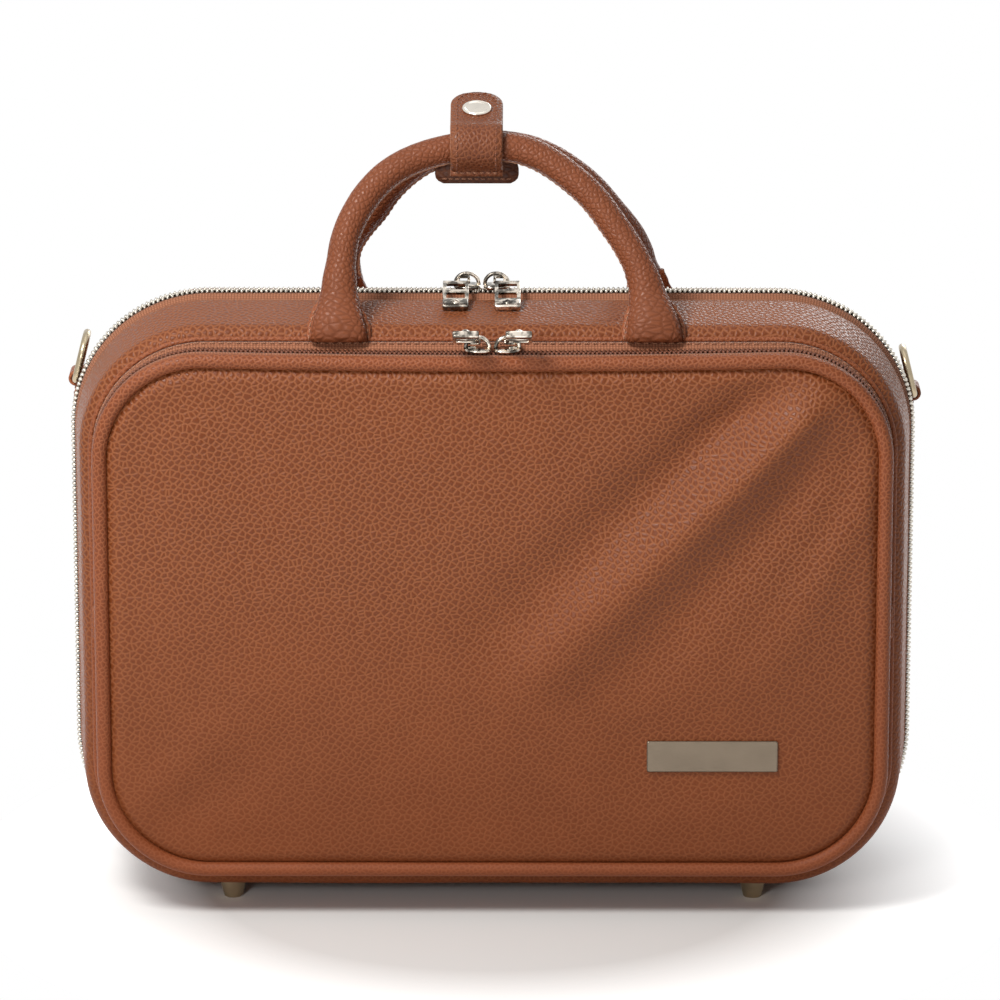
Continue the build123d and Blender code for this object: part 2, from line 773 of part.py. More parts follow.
def d_rings():
    """A D-ring at each side, in a leather tab on the rounded corner of the back half."""
    bore = ring_wire + ring_clearance
    pivot_radius = corner_radius + bore + ring_tab_wall
    strap_radius = corner_radius + 2 * ring_tab_wall
    under_radius = corner_radius - taper_at(ring_y + ring_tab_width) - cover_wall
    lean = radians(ring_lean)
    body = block(0, cover_rim, half_depth)
    for name, side, drop in (("left", -1, left_ring_drop), ("right", 1, right_ring_drop)):
        pivot_angle = degrees(asin((corner_radius - drop) / pivot_radius))
        low_angle = pivot_angle - degrees(ring_tab_length / corner_radius)
        mid_angle = (low_angle + pivot_angle) / 2
        pivot = corner_point(side, pivot_radius, pivot_angle)
        angles = (low_angle, mid_angle, pivot_angle)
        wall_arc = [corner_point(side, under_radius, angle) for angle in angles]
        strap_arc = [corner_point(side, strap_radius, angle) for angle in reversed(angles)]
        with BuildPart() as tab:
            with BuildSketch(Plane.XZ.offset(-ring_y - ring_tab_width / 2)):
                with BuildLine():
                    ThreePointArc(*wall_arc)
                    Line(wall_arc[-1], strap_arc[0])
                    ThreePointArc(*strap_arc)
                    Line(strap_arc[-1], wall_arc[0])
                make_face()
                with Locations(pivot):
                    Circle(bore + ring_tab_wall)
                    Circle(bore, mode=Mode.SUBTRACT)
            extrude(amount=ring_tab_width)
            add(body, mode=Mode.SUBTRACT)
        save(tab.part, f"dring_tab_{name}")

        wire_width, wire_height = ring_width - 2 * ring_wire, ring_height - 2 * ring_wire
        plane = Plane(
            (pivot[0], ring_y, pivot[1]), x_dir=(0, 1, 0), z_dir=(cos(lean), 0, side * sin(lean))
        )
        with BuildSketch(plane) as shape:
            with Locations((0, wire_height / 2)):
                Rectangle(wire_width, wire_height)
            fillet(shape.vertices().group_by(Axis.Y)[-1], ring_top_corner)
            fillet(shape.vertices().group_by(Axis.Y)[0], ring_base_corner)
        path = shape.sketch.faces()[0].outer_wire()
        with BuildPart() as ring:
            with BuildSketch(Plane(path @ 0, z_dir=path % 0)):
                Circle(ring_wire)
            sweep(path=path)
        save(ring.part, f"d_ring_{name}")


for half, side in (("back", 1), ("lid", -1)):
    half_shell(half, side)
    main_zip(half, side)
    hinge_strip(half, side)
    feet(half, side)
handle_tabs("back", 1)
handle_tabs("front", -1)
handle("back", 1)
handle("front", -1)
zip_stops()
instrument_block()
lid_pad()
wrap()
sliders_and_pulls()
pocket()
nameplate()
d_rings()
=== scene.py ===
"""Oboe case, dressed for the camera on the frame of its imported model.

Lengths are millimetres in the row frame until make() turns a piece's points into metres.
"""

from math import atan2, cos, degrees, hypot, pi, radians, sin, sqrt, tan

import bmesh
import bpy
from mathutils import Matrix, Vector, noise


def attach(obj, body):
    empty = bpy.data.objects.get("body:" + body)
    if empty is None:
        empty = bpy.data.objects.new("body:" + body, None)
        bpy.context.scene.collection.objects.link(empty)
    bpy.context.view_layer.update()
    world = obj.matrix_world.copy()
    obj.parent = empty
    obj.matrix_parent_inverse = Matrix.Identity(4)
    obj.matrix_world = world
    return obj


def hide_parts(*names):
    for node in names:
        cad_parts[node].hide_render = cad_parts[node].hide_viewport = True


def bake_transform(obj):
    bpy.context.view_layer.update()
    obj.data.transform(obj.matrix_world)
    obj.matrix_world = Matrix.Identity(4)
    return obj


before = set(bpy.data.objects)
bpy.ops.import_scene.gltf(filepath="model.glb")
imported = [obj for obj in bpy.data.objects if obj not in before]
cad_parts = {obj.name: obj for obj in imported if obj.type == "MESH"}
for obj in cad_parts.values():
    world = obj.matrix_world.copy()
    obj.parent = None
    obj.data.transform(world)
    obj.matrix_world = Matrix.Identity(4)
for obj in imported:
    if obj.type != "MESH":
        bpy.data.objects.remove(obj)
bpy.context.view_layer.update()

MM = 0.001


def vec(x, y, z):
    """A point or direction from its three parts."""
    return Vector((x, y, z))


def clamp(value):
    """A value kept between 0 and 1."""
    return min(1.0, max(0.0, value))


def soft_step(value):
    """0 to 1 with a soft start and end."""
    share = clamp(value)
    return share * share * (3 - 2 * share)


X_AXIS, Y_AXIS = vec(1, 0, 0), vec(0, 1, 0)

# Sizes repeated from the part
MID_Z = 128.0
SPAN_X, SPAN_Z = 115.0, 65.0
CORNER = 55.0
HALF_DEPTH = 42.0
TOP_Z = 248.0
ZIP_END_X = 115.0
TAPER_START = 11.0
POCKET_INSET = 9.5
POCKET_FRONT = 56.0
PIPING_INSET = 12.5
PIPING_RADIUS = 3.0
SPLIT_Z = 130.0
POCKET_ZIP_Y = -49.0
GRIP_Y, GRIP_Z = 8.5, 311.5
HANDLE_X, HANDLE_SKEW = 1.5, 0.068
WRAP_X = -6.5
TAB_WALL = 2.4
FOLD_ANGLE = radians(45)

# Each half: how much its face draws in, its edge's radius, its handle's lean in degrees, rise and length under
# the fold, and the half widths of the handle's roll and flange by the length above the fold
BACK = {
    "side": 1, "taper": 9.5, "edge": 9.0, "lean": 23.58, "rise": 78.64, "tail": 8.0,
    "halves": ((-8, 11.4), (-3, 9.6), (2, 8.0), (9, 7.2), (17, 6.6), (28, 6.0), (40, 5.75)),
    "flange": ((-8, 13.3), (-3, 11.6), (1, 9.4), (5, 8.2), (11.2, 6.6)),
}
LID = {
    "side": -1, "taper": 4.0, "edge": 6.0, "lean": 25.66, "rise": 74.73, "tail": 4.9,
    "halves": ((-8, 11.4), (-3, 10.9), (3, 9.8), (9, 8.5), (17, 7.1), (28, 6.0), (40, 5.75)),
    "flange": ((-8, 13.3), (0, 12.7), (4, 11.6), (8, 9.9), (11.2, 7.4)),
}


# Materials


class Tree:
    """A short way to write the nodes of a material or of the world."""

    def __init__(self, owner):
        owner.use_nodes = True
        self.tree = owner.node_tree

    def add(self, kind, inputs=None, **settings):
        node = self.tree.nodes.new("ShaderNode" + kind)
        for key, value in settings.items():
            setattr(node, key, value)
        for socket, value in (inputs or {}).items():
            self.feed(node.inputs[socket], value)
        return node

    def feed(self, socket, value):
        if isinstance(value, bpy.types.NodeSocket):
            self.tree.links.new(value, socket)
        else:
            socket.default_value = value

    def coords(self, stretch=(1, 1, 1), kind="Object"):
        source = self.add("TexCoord").outputs[kind]
        return self.add("Mapping", {"Vector": source, "Scale": stretch}).outputs[0]

    def noise(self, vector, scale, detail=3.0, roughness=0.5):
        values = {"Vector": vector, "Scale": scale, "Detail": detail, "Roughness": roughness}
        return self.add("TexNoise", values).outputs["Fac"]

    def cells(self, vector, scale, randomness=1.0, **settings):
        values = {"Vector": vector, "Scale": scale, "Randomness": randomness}
        return self.add("TexVoronoi", values, **settings).outputs["Distance"]

    def span(self, value, low, high, to_low=0.0, to_high=1.0, smooth=False):
        values = {"Value": value, "From Min": low, "From Max": high, "To Min": to_low, "To Max": to_high}
        kind = "SMOOTHSTEP" if smooth else "LINEAR"
        return self.add("MapRange", values, interpolation_type=kind).outputs[0]

    def math(self, operation, *values):
        return self.add("Math", dict(enumerate(values)), operation=operation).outputs[0]

    def mix(self, share, first, second):
        node = self.add("Mix", {"Factor": share}, data_type="RGBA")
        self.feed(node.inputs["A"], first)
        self.feed(node.inputs["B"], second)
        return node.outputs["Result"]

    def bump(self, height, distance, strength=1.0, normal=None):
        values = {"Height": height, "Distance": distance, "Strength": strength}
        if normal is not None:
            values["Normal"] = normal
        return self.add("Bump", values).outputs[0]

    def wave(self, vector, scale, direction, **more):
        values = {"Vector": vector, "Scale": scale, **more}
        return self.add("TexWave", values, wave_type="BANDS", bands_direction=direction).outputs["Fac"]


class Nodes(Tree):
    """A material's nodes round one principled shader."""

    def __init__(self, name, **values):
        self.material = bpy.data.materials.new(name)
        super().__init__(self.material)
        self.shader = self.tree.nodes["Principled BSDF"]
        for socket, value in values.items():
            self.shader.inputs[socket.replace("_", " ")].default_value = value

    def finish(self, color, roughness, normal):
        for socket, value in (("Base Color", color), ("Roughness", roughness), ("Normal", normal)):
            self.feed(self.shader.inputs[socket], value)
        return self.material


def rgb(red, green, blue):
    """Linear colour from the eight-bit values that a screen shows."""
    parts = [v / 255 for v in (red, green, blue)]
    return tuple(v / 12.92 if v <= 0.04045 else ((v + 0.055) / 1.055) ** 2.4 for v in parts) + (1.0,)


# The grain's turn and stretch on the skin, how far its cells wander in mm, and how regular they are
GRAIN_TURN, GRAIN_STRETCH, GRAIN_WANDER, GRAIN_RANDOM = radians(35), 1.12, 0.7, 0.72
# Heights in metres between which the grain fades in above the case's foot, and what is left of it below
FADE_LOW, FADE_HIGH, FADE_LEFT = 0.03, 0.15, 0.4


def leather(name, cell_tone, dip_tone, line_tone, cell=0.40, depth=0.00022, worn=0.3, fade=True, lines=0.7):
    """Pebbled leather-cloth: domed grains, darker inside, with pale matt lines between; cell is grains per mm."""
    n = Nodes(name, Specular_IOR_Level=0.22)
    at = n.coords()
    skin = n.add("TexCoord").outputs["UV"]
    turned = n.add("Mapping", {"Vector": skin, "Rotation": (0.0, 0.0, GRAIN_TURN),
                               "Scale": (1.0, GRAIN_STRETCH, 1.0)})
    wander = n.add("TexNoise", {"Vector": skin, "Scale": 0.25, "Detail": 2.0}).outputs["Color"]
    bent = n.add("MixRGB", {0: GRAIN_WANDER, 1: turned.outputs[0], 2: wander}, blend_type="ADD").outputs[0]
    edge = n.cells(bent, cell, feature="DISTANCE_TO_EDGE", randomness=GRAIN_RANDOM, voronoi_dimensions="2D")
    fine = n.noise(at, 2300.0, 3.0, 0.6)
    broad = n.noise(at, 13.0, 3.0, 0.55)
    cloud = n.noise(at, 75.0, 3.0, 0.6)
    dome = n.span(edge, 0.0, 0.34, smooth=True)
    line = n.span(edge, 0.02, 0.27, 1.0, 0.0, smooth=True)
    calm = 1.0
    if fade:
        height = n.add("SeparateXYZ", {"Vector": at}).outputs["Z"]
        calm = n.span(height, FADE_LOW, FADE_HIGH, FADE_LEFT, 1.0)
    tone = n.mix(n.span(broad, 0.3, 0.7), cell_tone, [0.86 * v for v in cell_tone[:3]] + [1.0])
    tone = n.mix(n.math("MULTIPLY", n.span(cloud, 0.35, 0.7), 0.3), tone, dip_tone)
    tone = n.mix(n.math("MULTIPLY", line, n.math("MULTIPLY", calm, lines)), tone, line_tone)
    crown = n.add("NewGeometry").outputs["Pointiness"]
    tone = n.mix(n.math("MULTIPLY", n.span(crown, 0.51, 0.60), worn), tone, line_tone)
    grain = n.math("MULTIPLY", n.math("ADD", dome, n.math("MULTIPLY", fine, 0.14)), calm)
    rough = n.span(grain, 0.1, 1.0, 0.6, 0.3)
    low = n.bump(broad, 0.0012, 0.25)
    return n.finish(tone, rough, n.bump(grain, depth, 0.9, low))


def cloth(name, light, dark):
    """Woven ribbon: two crossing sets of threads."""
    n = Nodes(name, Specular_IOR_Level=0.25, Sheen_Weight=0.15, Sheen_Roughness=0.4)
    at = n.coords(kind="UV")
    weft, warp = (n.span(n.wave(at, scale, direction, Distortion=0.6, Detail=1.0), 0.1, 0.9, 0.35, 1.0)
                  for scale, direction in ((0.26, "X"), (0.3, "Y")))
    weave = n.math("MULTIPLY", weft, warp)
    fuzz = n.noise(n.coords(), 1500.0, 3.0)
    tone = n.mix(n.math("MULTIPLY", weave, n.span(fuzz, 0.3, 0.7, 0.7, 1.15)), dark, light)
    return n.finish(tone, n.span(fuzz, 0.3, 0.7, 0.7, 0.9), n.bump(weave, 0.0002))


def plush(name, light, dark, scale=1600.0):
    """Short brushed pile, as on the padding inside the case; scale sets how fine it is."""
    n = Nodes(name, Specular_IOR_Level=0.15, Sheen_Weight=0.5, Sheen_Roughness=0.35)
    at = n.coords()
    pile = n.noise(at, scale, 3.0, 0.65)
    stroke = n.noise(n.coords((3.0, 3.0, 1.0)), 22.0, 2.0)
    tone = n.mix(n.math("MULTIPLY", n.span(pile, 0.3, 0.7), n.span(stroke, 0.3, 0.7, 0.5, 1.0)), dark, light)
    return n.finish(tone, n.span(pile, 0.3, 0.7, 0.95, 0.8), n.bump(pile, 0.0005, 0.6))


def metal(name, color, rough_low, rough_high, stretch=(1, 1, 1), scale=900.0, depth=0.00002, reflection_dimming=0.82,
          cloud=90.0, reflection_sharpness=0.2):
    """Plated metal: faint handling marks, brushed where the noise is stretched, and darker clouds painted in as
    reflections.
    """
    n = Nodes(name, Metallic=1.0)
    marks = n.noise(n.coords(stretch), scale, 3.0, 0.6)
    # Darker noise clouds over the metal: painted reflections of a darker surround
    painted_reflection = n.span(n.noise(n.coords(), cloud, 2.0), 0.5 - reflection_sharpness, 0.5 + reflection_sharpness)
    tone = n.mix(painted_reflection, color, [reflection_dimming * v for v in color[:3]] + [1.0])
    return n.finish(tone, n.span(marks, 0.3, 0.7, rough_low, rough_high), n.bump(marks, depth, 0.5))


def board(name, light, dark):
    """Pressed fibre board."""
    n = Nodes(name, Specular_IOR_Level=0.2)
    fibre = n.noise(n.coords((1.0, 1.0, 4.0)), 500.0, 5.0, 0.7)
    return n.finish(n.mix(n.span(fibre, 0.35, 0.65), dark, light), n.span(fibre, 0.3, 0.7, 0.75, 0.95),
                    n.bump(fibre, 0.0001))


def moulded(name, light, dark):
    """Nylon of the coil zip."""
    n = Nodes(name, Specular_IOR_Level=0.45)
    speck = n.noise(n.coords(), 1200.0, 2.0)
    return n.finish(n.mix(n.span(speck, 0.3, 0.7), dark, light), n.span(speck, 0.3, 0.7, 0.42, 0.57),
                    n.bump(speck, 0.00003))


def twist(name, light, dark):
    """Sewing thread with its twist."""
    n = Nodes(name, Specular_IOR_Level=0.3, Sheen_Weight=0.2)
    ply = n.wave(n.coords(), 700.0, "DIAGONAL", Distortion=1.0)
    return n.finish(n.mix(ply, dark, light), n.span(ply, 0, 1, 0.7, 0.55), n.bump(ply, 0.00008))


TAN = leather("tan_leather", rgb(124, 62, 28), rgb(102, 46, 16), rgb(164, 102, 66), lines=0.62)
TAN_FINE = leather("tan_leather_fine", rgb(132, 66, 34), rgb(108, 51, 22), rgb(172, 106, 72), cell=0.52,
                   depth=0.00014, worn=0.45, lines=0.55)
STRAP_TAN = leather("strap_leather", rgb(112, 58, 33), rgb(88, 42, 21), rgb(150, 94, 64), cell=0.5,
                    depth=0.00018, worn=0.5, lines=0.5, fade=False)
GRIP_TAN = leather("grip_leather", rgb(142, 80, 50), rgb(112, 60, 34), rgb(96, 48, 26), cell=0.42,
                   depth=0.00024, worn=0.0, fade=False, lines=0.45)
# Tan leather darkened to paint the shade under the case and inside the handle wrap; the hinge strip and the wrap's
# inner loop and pad take it
TAN_PAINTED_SHADE = leather("dark_leather", rgb(84, 46, 30), rgb(58, 29, 17), rgb(118, 74, 52), cell=0.5, depth=0.00016,
               lines=0.4)
CUT_EDGE = leather("cut_edge", rgb(190, 136, 106), rgb(150, 98, 70), rgb(206, 158, 130), cell=1.2,
                   depth=0.00005, fade=False, lines=0.3)
TAPE = cloth("zip_tape_weave", rgb(190, 128, 98), rgb(124, 76, 52))
NYLON = moulded("coil_nylon", rgb(140, 84, 58), rgb(84, 44, 28))
NICKEL = metal("bright_nickel", (0.80, 0.745, 0.66, 1), 0.12, 0.24)
# The pulls' dark, sharp-edged clouds are painted reflections
PULL_METAL = metal("pull_nickel", (0.78, 0.70, 0.60, 1), 0.1, 0.22, reflection_dimming=0.16, cloud=260.0, reflection_sharpness=0.07)
TEETH = metal("zip_teeth_nickel", (0.56, 0.52, 0.46, 1), 0.22, 0.36)
CHAMPAGNE = metal("champagne_plate", (0.17, 0.135, 0.10, 1), 0.3, 0.5, (0.05, 1.0, 1.0), 5200.0, 0.00004, 0.9)
BRASS = metal("aged_brass", (0.50, 0.39, 0.25, 1), 0.34, 0.52, scale=420.0, reflection_dimming=0.7)
RING_METAL = metal("ring_pale_gold", (0.42, 0.345, 0.235, 1), 0.2, 0.36)
STEEL = metal("screw_steel", (0.55, 0.55, 0.56, 1), 0.25, 0.4)
PLUSH = plush("plush_padding", rgb(70, 52, 44), rgb(30, 21, 18))
LINING = plush("lining_fabric", rgb(92, 70, 58), rgb(44, 32, 26), 2300.0)
BOARD = board("fibre_board", rgb(150, 128, 100), rgb(104, 84, 62))
THREAD = twist("thread_pale", rgb(206, 152, 120), rgb(140, 86, 60))
THREAD_BROWN = twist("thread_brown", rgb(160, 96, 66), rgb(96, 50, 30))


# Meshes


def grid(rows, closed=False, looped=False, caps=False):
    """Points, faces and face coordinates of a sheet over rows; closed joins row ends, looped first and last."""
    count = len(rows[0])
    last = len(rows) if looped else len(rows) - 1
    along = [0.0]
    for i in range(last):
        along.append(along[-1] + (Vector(rows[(i + 1) % len(rows)][0]) - Vector(rows[i][0])).length)
    middle = rows[len(rows) // 2]
    across = [0.0]
    for j in range(count):
        across.append(across[-1] + (Vector(middle[(j + 1) % count]) - Vector(middle[j])).length)
    faces, coords = [], []
    for i in range(last):
        for j in range(count if closed else count - 1):
            a, b = i, (i + 1) % len(rows)
            k = (j + 1) % count
            faces.append((a * count + j, a * count + k, b * count + k, b * count + j))
            coords.append([(along[i], across[j]), (along[i], across[j + 1]),
                           (along[i + 1], across[j + 1]), (along[i + 1], across[j])])
    if caps:
        for row in (0, len(rows) - 1):
            faces.append(tuple(row * count + j for j in range(count)))
            coords.append([(0.0, 0.0)] * count)
    return [Vector(p) for row in rows for p in row], faces, coords


def solid(rows):
    """A closed piece over closed rows, with a cap at each end."""
    return grid(rows, closed=True, caps=True)


def plane_coords(shape, first=0):
    """Face coordinates taken straight from x and z, from one face on."""
    points, faces, coords = shape
    for i in range(first, len(faces)):
        coords[i] = [(points[k].x, points[k].z) for k in faces[i]]
    return shape


def join(parts):
    """Several meshes' points, faces and face coordinates as one."""
    points, faces, coords = [], [], []
    for more_points, more_faces, more_coords in parts:
        base = len(points)
        points += more_points
        faces += [tuple(base + i for i in face) for face in more_faces]
        coords += more_coords
    return points, faces, coords


def make(name, shape, material, replaced=(), body=None, thick=0.0, outward=1):
    """One piece of the scene from points in millimetres. A sheet gets a thickness inward or outward."""
    points, faces, coords = shape
    mesh = bpy.data.meshes.new(name)
    mesh.from_pydata([p * MM for p in points], [], faces)
    flat = [value for face in coords for uv in face for value in uv]
    mesh.uv_layers.new(name="UVMap").data.foreach_set("uv", flat)
    mesh.materials.append(material)
    piece = bpy.data.objects.new(name, mesh)
    bpy.context.scene.collection.objects.link(piece)
    work = bmesh.new()
    work.from_mesh(mesh)
    if thick:
        middle = vec(0.0, 0.0, MID_Z * MM)
        facing = sum(f.normal.dot(f.calc_center_median() - middle) * f.calc_area() for f in work.faces)
        if facing < 0:
            bmesh.ops.reverse_faces(work, faces=work.faces[:])
    else:
        bmesh.ops.recalc_face_normals(work, faces=work.faces[:])
    work.to_mesh(mesh)
    work.free()
    if thick:
        wall = piece.modifiers.new("wall", "SOLIDIFY")
        wall.thickness, wall.offset = thick * MM, outward
        wall.use_even_offset = True
        bpy.context.view_layer.update()
        final = bpy.data.meshes.new_from_object(piece.evaluated_get(bpy.context.evaluated_depsgraph_get()))
        piece.modifiers.clear()
        piece.data = final
        final.name = name
    piece.data.polygons.foreach_set("use_smooth", [True] * len(piece.data.polygons))
    if replaced:
        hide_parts(*replaced)
    if body:
        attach(piece, body)
    return piece


def total(inset):
    """Length of the outline at an inset."""
    return 4 * SPAN_X + 4 * SPAN_Z + 2 * pi * (CORNER - inset)


def station(s, base=0.0):
    """Core point and outward direction at a length along the outline, leftwards from the bottom's middle."""
    radius = CORNER - base
    quarter = radius * pi / 2
    s %= total(base)
    runs = (
        (SPAN_X, 0, -SPAN_Z, -1, 0), (2 * SPAN_Z, -SPAN_X, -SPAN_Z, 0, 1),
        (2 * SPAN_X, -SPAN_X, SPAN_Z, 1, 0), (2 * SPAN_Z, SPAN_X, SPAN_Z, 0, -1), (SPAN_X, SPAN_X, -SPAN_Z, -1, 0),
    )
    for i, (length, x, z, dx, dz) in enumerate(runs):
        if s <= length or i == 4:
            return x + dx * s, MID_Z + z + dz * s, -dz, dx
        s -= length
        if s <= quarter:
            turn = -pi / 2 * (i + 1) - s / radius
            x, z = x + dx * length, z + dz * length
            return x, MID_Z + z, cos(turn), sin(turn)
        s -= quarter
    raise ValueError(s)


def at(s, inset, y, base=0.0, slim=0.0):
    """A point of the outline's band, by length, inset and depth; slim draws in all but the bottom."""
    x, z, nx, nz = station(s, base)
    low = slim * clamp((MID_Z + SPAN_Z - z) / (2 * SPAN_Z))
    reach = CORNER - inset - slim
    return vec(x + nx * reach, y, z - low + nz * reach)


def slimming(y):
    """How far a half's outline is drawn in at a depth."""
    half = BACK if y > 0 else LID
    return half["taper"] * max(0.0, abs(y) - TAPER_START) / (HALF_DEPTH - TAPER_START)


def draw_in(p, half_x, half_z):
    """The same drawing in for a point anywhere inside a half."""
    slim = slimming(p.y)
    bottom = MID_Z - half_z
    return vec(p.x * (1 - slim / half_x), p.y, bottom + (p.z - bottom) * (1 - slim / (2 * half_z)))


def edge_arc(half):
    """Centre of a half's rounded top edge, as depth and height."""
    y = HALF_DEPTH - half["edge"]
    slope = atan2(half["taper"], HALF_DEPTH - TAPER_START)
    return y, TOP_Z - slimming(half["side"] * y) - half["edge"] / cos(slope)


def normal_at(s, base=0.0):
    """Outward direction of the outline at a length along it."""
    _, _, nx, nz = station(s, base)
    return vec(nx, 0.0, nz)


def spread(start, end, step):
    """Evenly spaced lengths from start to end, about one step apart."""
    count = max(2, round((end - start) / step))
    return [start + (end - start) * i / count for i in range(count + 1)]


def swept(profile, lengths, base, whole=False):
    """A closed profile of (inset, y) points drawn along the outline, all the way round if whole."""
    rows = [[at(s, inset, y, base) for inset, y in profile] for s in (lengths[:-1] if whole else lengths)]
    return grid(rows, closed=True, looped=whole, caps=not whole)


def arc(centre, radius, start, end, count):
    """Points round an arc in a profile's plane; angles in degrees."""
    turns = [radians(start + (end - start) * i / count) for i in range(count + 1)]
    return [(centre[0] + radius * cos(a), centre[1] + radius * sin(a)) for a in turns]


def ring(centre, one, two, radius, sides):
    """Points round a circle spanned by two directions."""
    turns = [2 * pi * k / sides for k in range(sides)]
    return [centre + (one * cos(a) + two * sin(a)) * radius for a in turns]


def tube(points, radius, sides):
    """A round bar along a line of points."""
    rows, side = [], None
    for i, p in enumerate(points):
        along = (points[min(i + 1, len(points) - 1)] - points[max(i - 1, 0)]).normalized()
        if side is None:
            side = along.cross(vec(0, 0, 1) if abs(along.z) < 0.9 else Y_AXIS).normalized()
        side = (side - along * side.dot(along)).normalized()
        rows.append(ring(p, side, along.cross(side), radius, sides))
    return solid(rows)


def walk(points, step, start=0.0):
    """Points a step apart along a line, with the line's direction at each."""
    found, due = [], start
    gone = 0.0
    for a, b in zip(points, points[1:]):
        run = (b - a).length
        while due <= gone + run and run > 0:
            found.append((a + (b - a) * ((due - gone) / run), (b - a) / run))
            due += step
        gone += run
    return found


# Each stitch from end to end: share of its length, share of its radius, share by which it sinks in
STITCH = ((-0.5, 0.35, 0.75), (-0.34, 0.9, 0.1), (0.0, 1.0, 0.0), (0.34, 0.9, 0.1), (0.5, 0.35, 0.75))


def stitch_mesh(line, lift, length=2.3, pitch=3.3, radius=0.3):
    """A row of sewn stitches: each one a short rounded thread whose ends sink into the leather."""
    parts = []
    for point, along in walk(line, pitch, pitch / 2):
        out = lift(point) if callable(lift) else lift
        out = (out - along * out.dot(along)).normalized()
        side = along.cross(out)
        rows = [ring(point + along * (t * length) + out * radius * (0.45 - sink), side, out, radius * swell, 6)
                for t, swell, sink in STITCH]
        parts.append(solid(rows))
    return join(parts)


def sew(name, line, lift, thread, body, size=(1.9, 2.6, 0.3)):
    """A row of stitches as a piece of its own; size is a stitch's length, pitch and radius."""
    return make(name, stitch_mesh(line, lift, *size), thread, body=body)


def nearest(spots):
    """A function that gives the direction of the closest of some (point, direction) pairs."""
    return lambda p: min(spots, key=lambda spot: (spot[0] - p).length_squared)[1]


def ribbon(middle, normals, across, widths, wall, edge=0.35):
    """A flat strap along a line: its normal, its width direction and its half widths given at each point."""
    rows = []
    for p, n, half in zip(middle, normals, widths):
        h = wall / 2
        e = min(edge, half * 0.8)
        outline = ((-half, -h + e), (-half, h - e), (-half + e, h), (-half * 0.5, h), (0, h), (half * 0.5, h),
                   (half - e, h), (half, h - e), (half, -h + e), (half - e, -h), (0, -h), (-half + e, -h))
        rows.append([p + across * a + n * b for a, b in outline])
    return solid(rows)


def block(size, centre, axes=None, edge=0.3, levels=1):
    """A bevelled bar as points and faces, placed by its centre and its three axes."""
    work = bmesh.new()
    bmesh.ops.create_cube(work, size=1.0)
    bmesh.ops.scale(work, vec=size, verts=work.verts)
    bmesh.ops.bevel(work, geom=work.edges[:], offset=edge, segments=levels, affect="EDGES", profile=0.6)
    axes = axes or (X_AXIS, Y_AXIS, vec(0, 0, 1))
    centre = Vector(centre)
    points = [centre + axes[0] * v.co.x + axes[1] * v.co.y + axes[2] * v.co.z for v in work.verts]
    work.verts.index_update()
    faces = [tuple(v.index for v in f.verts) for f in work.faces]
    work.free()
    return points, faces, [[(0.0, 0.0)] * len(f) for f in faces]


def lathe(profile, centre, axis, sides):
    """A turned piece: a profile of (radius, height) round an axis."""
    axis = axis.normalized()
    side = axis.cross(X_AXIS if abs(axis.x) < 0.9 else Y_AXIS).normalized()
    other = axis.cross(side)
    return solid([ring(centre + axis * h, side, other, r, sides) for r, h in profile])


# Covers, linings and the main zip

HALVES = (("back", 1, "case_back"), ("lid", -1, "lid"))
RIM = [(3.4, 6.6), (2.3, 5.75), (1.6, 5.5), (1.1, 5.75), (0.85, 6.7), (0.6, 8.4), (0.34, 11.0), (0.14, 15.0),
       (0.02, 20.0), (0.0, 27.0)]


# How far each row of a half's flat face lies from its middle, as a share of the row at its edge
FACE_SCALES = (0.9, 0.8, 0.7, 0.6, 0.5, 0.4, 0.3, 0.2, 0.1)


def tray_rows(profile, lengths, side, crown, wobble):
    """Rows of a tray's surface: along the profile, then in to the middle of its flat face."""
    rows = [[at(s, inset, side * y, 0.0, slimming(side * y)) for s in lengths[:-1]] for inset, y in profile]
    rim = rows[-1]
    for scale in FACE_SCALES:
        rise = crown * (1 - scale * scale)
        rows.append([vec(p.x * scale, p.y + side * rise, MID_Z + (p.z - MID_Z) * scale) for p in rim])
    for i, row in enumerate(rows):
        for p in row:
            soft = noise.noise(p / 46.0) * wobble * min(1.0, i / 8)
            out = vec(p.x / 170, side * 0.9, (p.z - MID_Z) / 120).normalized()
            p += out * soft
    return rows


def tray(name, rows, material, replaced, body, thick, outward):
    """A closed-wall tray piece whose face is filled to its middle."""
    points, faces, coords = grid(rows, closed=True)
    count = len(rows[0])
    base = len(points) - count
    points.append(sum(rows[-1], Vector()) / count)
    for j in range(count):
        faces.append((base + j, base + (j + 1) % count, len(points) - 1))
        coords.append([(0.0, 0.0)] * 3)
    shape = plane_coords((points, faces, coords), (len(rows) - len(FACE_SCALES) - 1) * count)
    return make(name, shape, material, replaced, body, thick, outward)


def halves():
    """Leather covers and fabric linings of the two halves."""
    lengths = spread(0.0, total(0), 3.6)
    for name, side, body in HALVES:
        half = BACK if side > 0 else LID
        edge_y, edge_z = edge_arc(half)
        slope = degrees(atan2(half["taper"], HALF_DEPTH - TAPER_START))
        corner = [(inset - slimming(side * y), y) for inset, y in
                  arc((TOP_Z - edge_z, edge_y), half["edge"], 180 - slope, 90, 9)]
        face = [(12.0, 42.03), (16.0, 42.1), (22.0, 42.2)]
        rows = tray_rows(RIM + corner + face, lengths, side, 1.2, 0.35)
        tray(f"{name}_cover_leather", rows, TAN, [f"{name}_cover"], body, 1.2, -1)
        lip = [(inset, side * y) for inset, y in arc((1.45, 5.6), 0.42, 0, 315, 7)]
        make(f"{name}_cover_edge", swept(lip, lengths, 0.0, whole=True), CUT_EDGE, body=body)
        inner = [(5.5, 8.2), (5.7, 7.3), (6.4, 6.9), (7.1, 7.3), (7.3, 8.6), (7.35, 16.0), (7.35, 30.0),
                 (7.6, 32.4), (8.6, 34.0), (10.5, 34.5), (20.0, 34.6)]
        rows = tray_rows(inner, lengths, side, 0.0, 0.2)
        tray(f"{name}_lining_fabric", rows, LINING, [f"{name}_lining"], body, 1.3, 1)


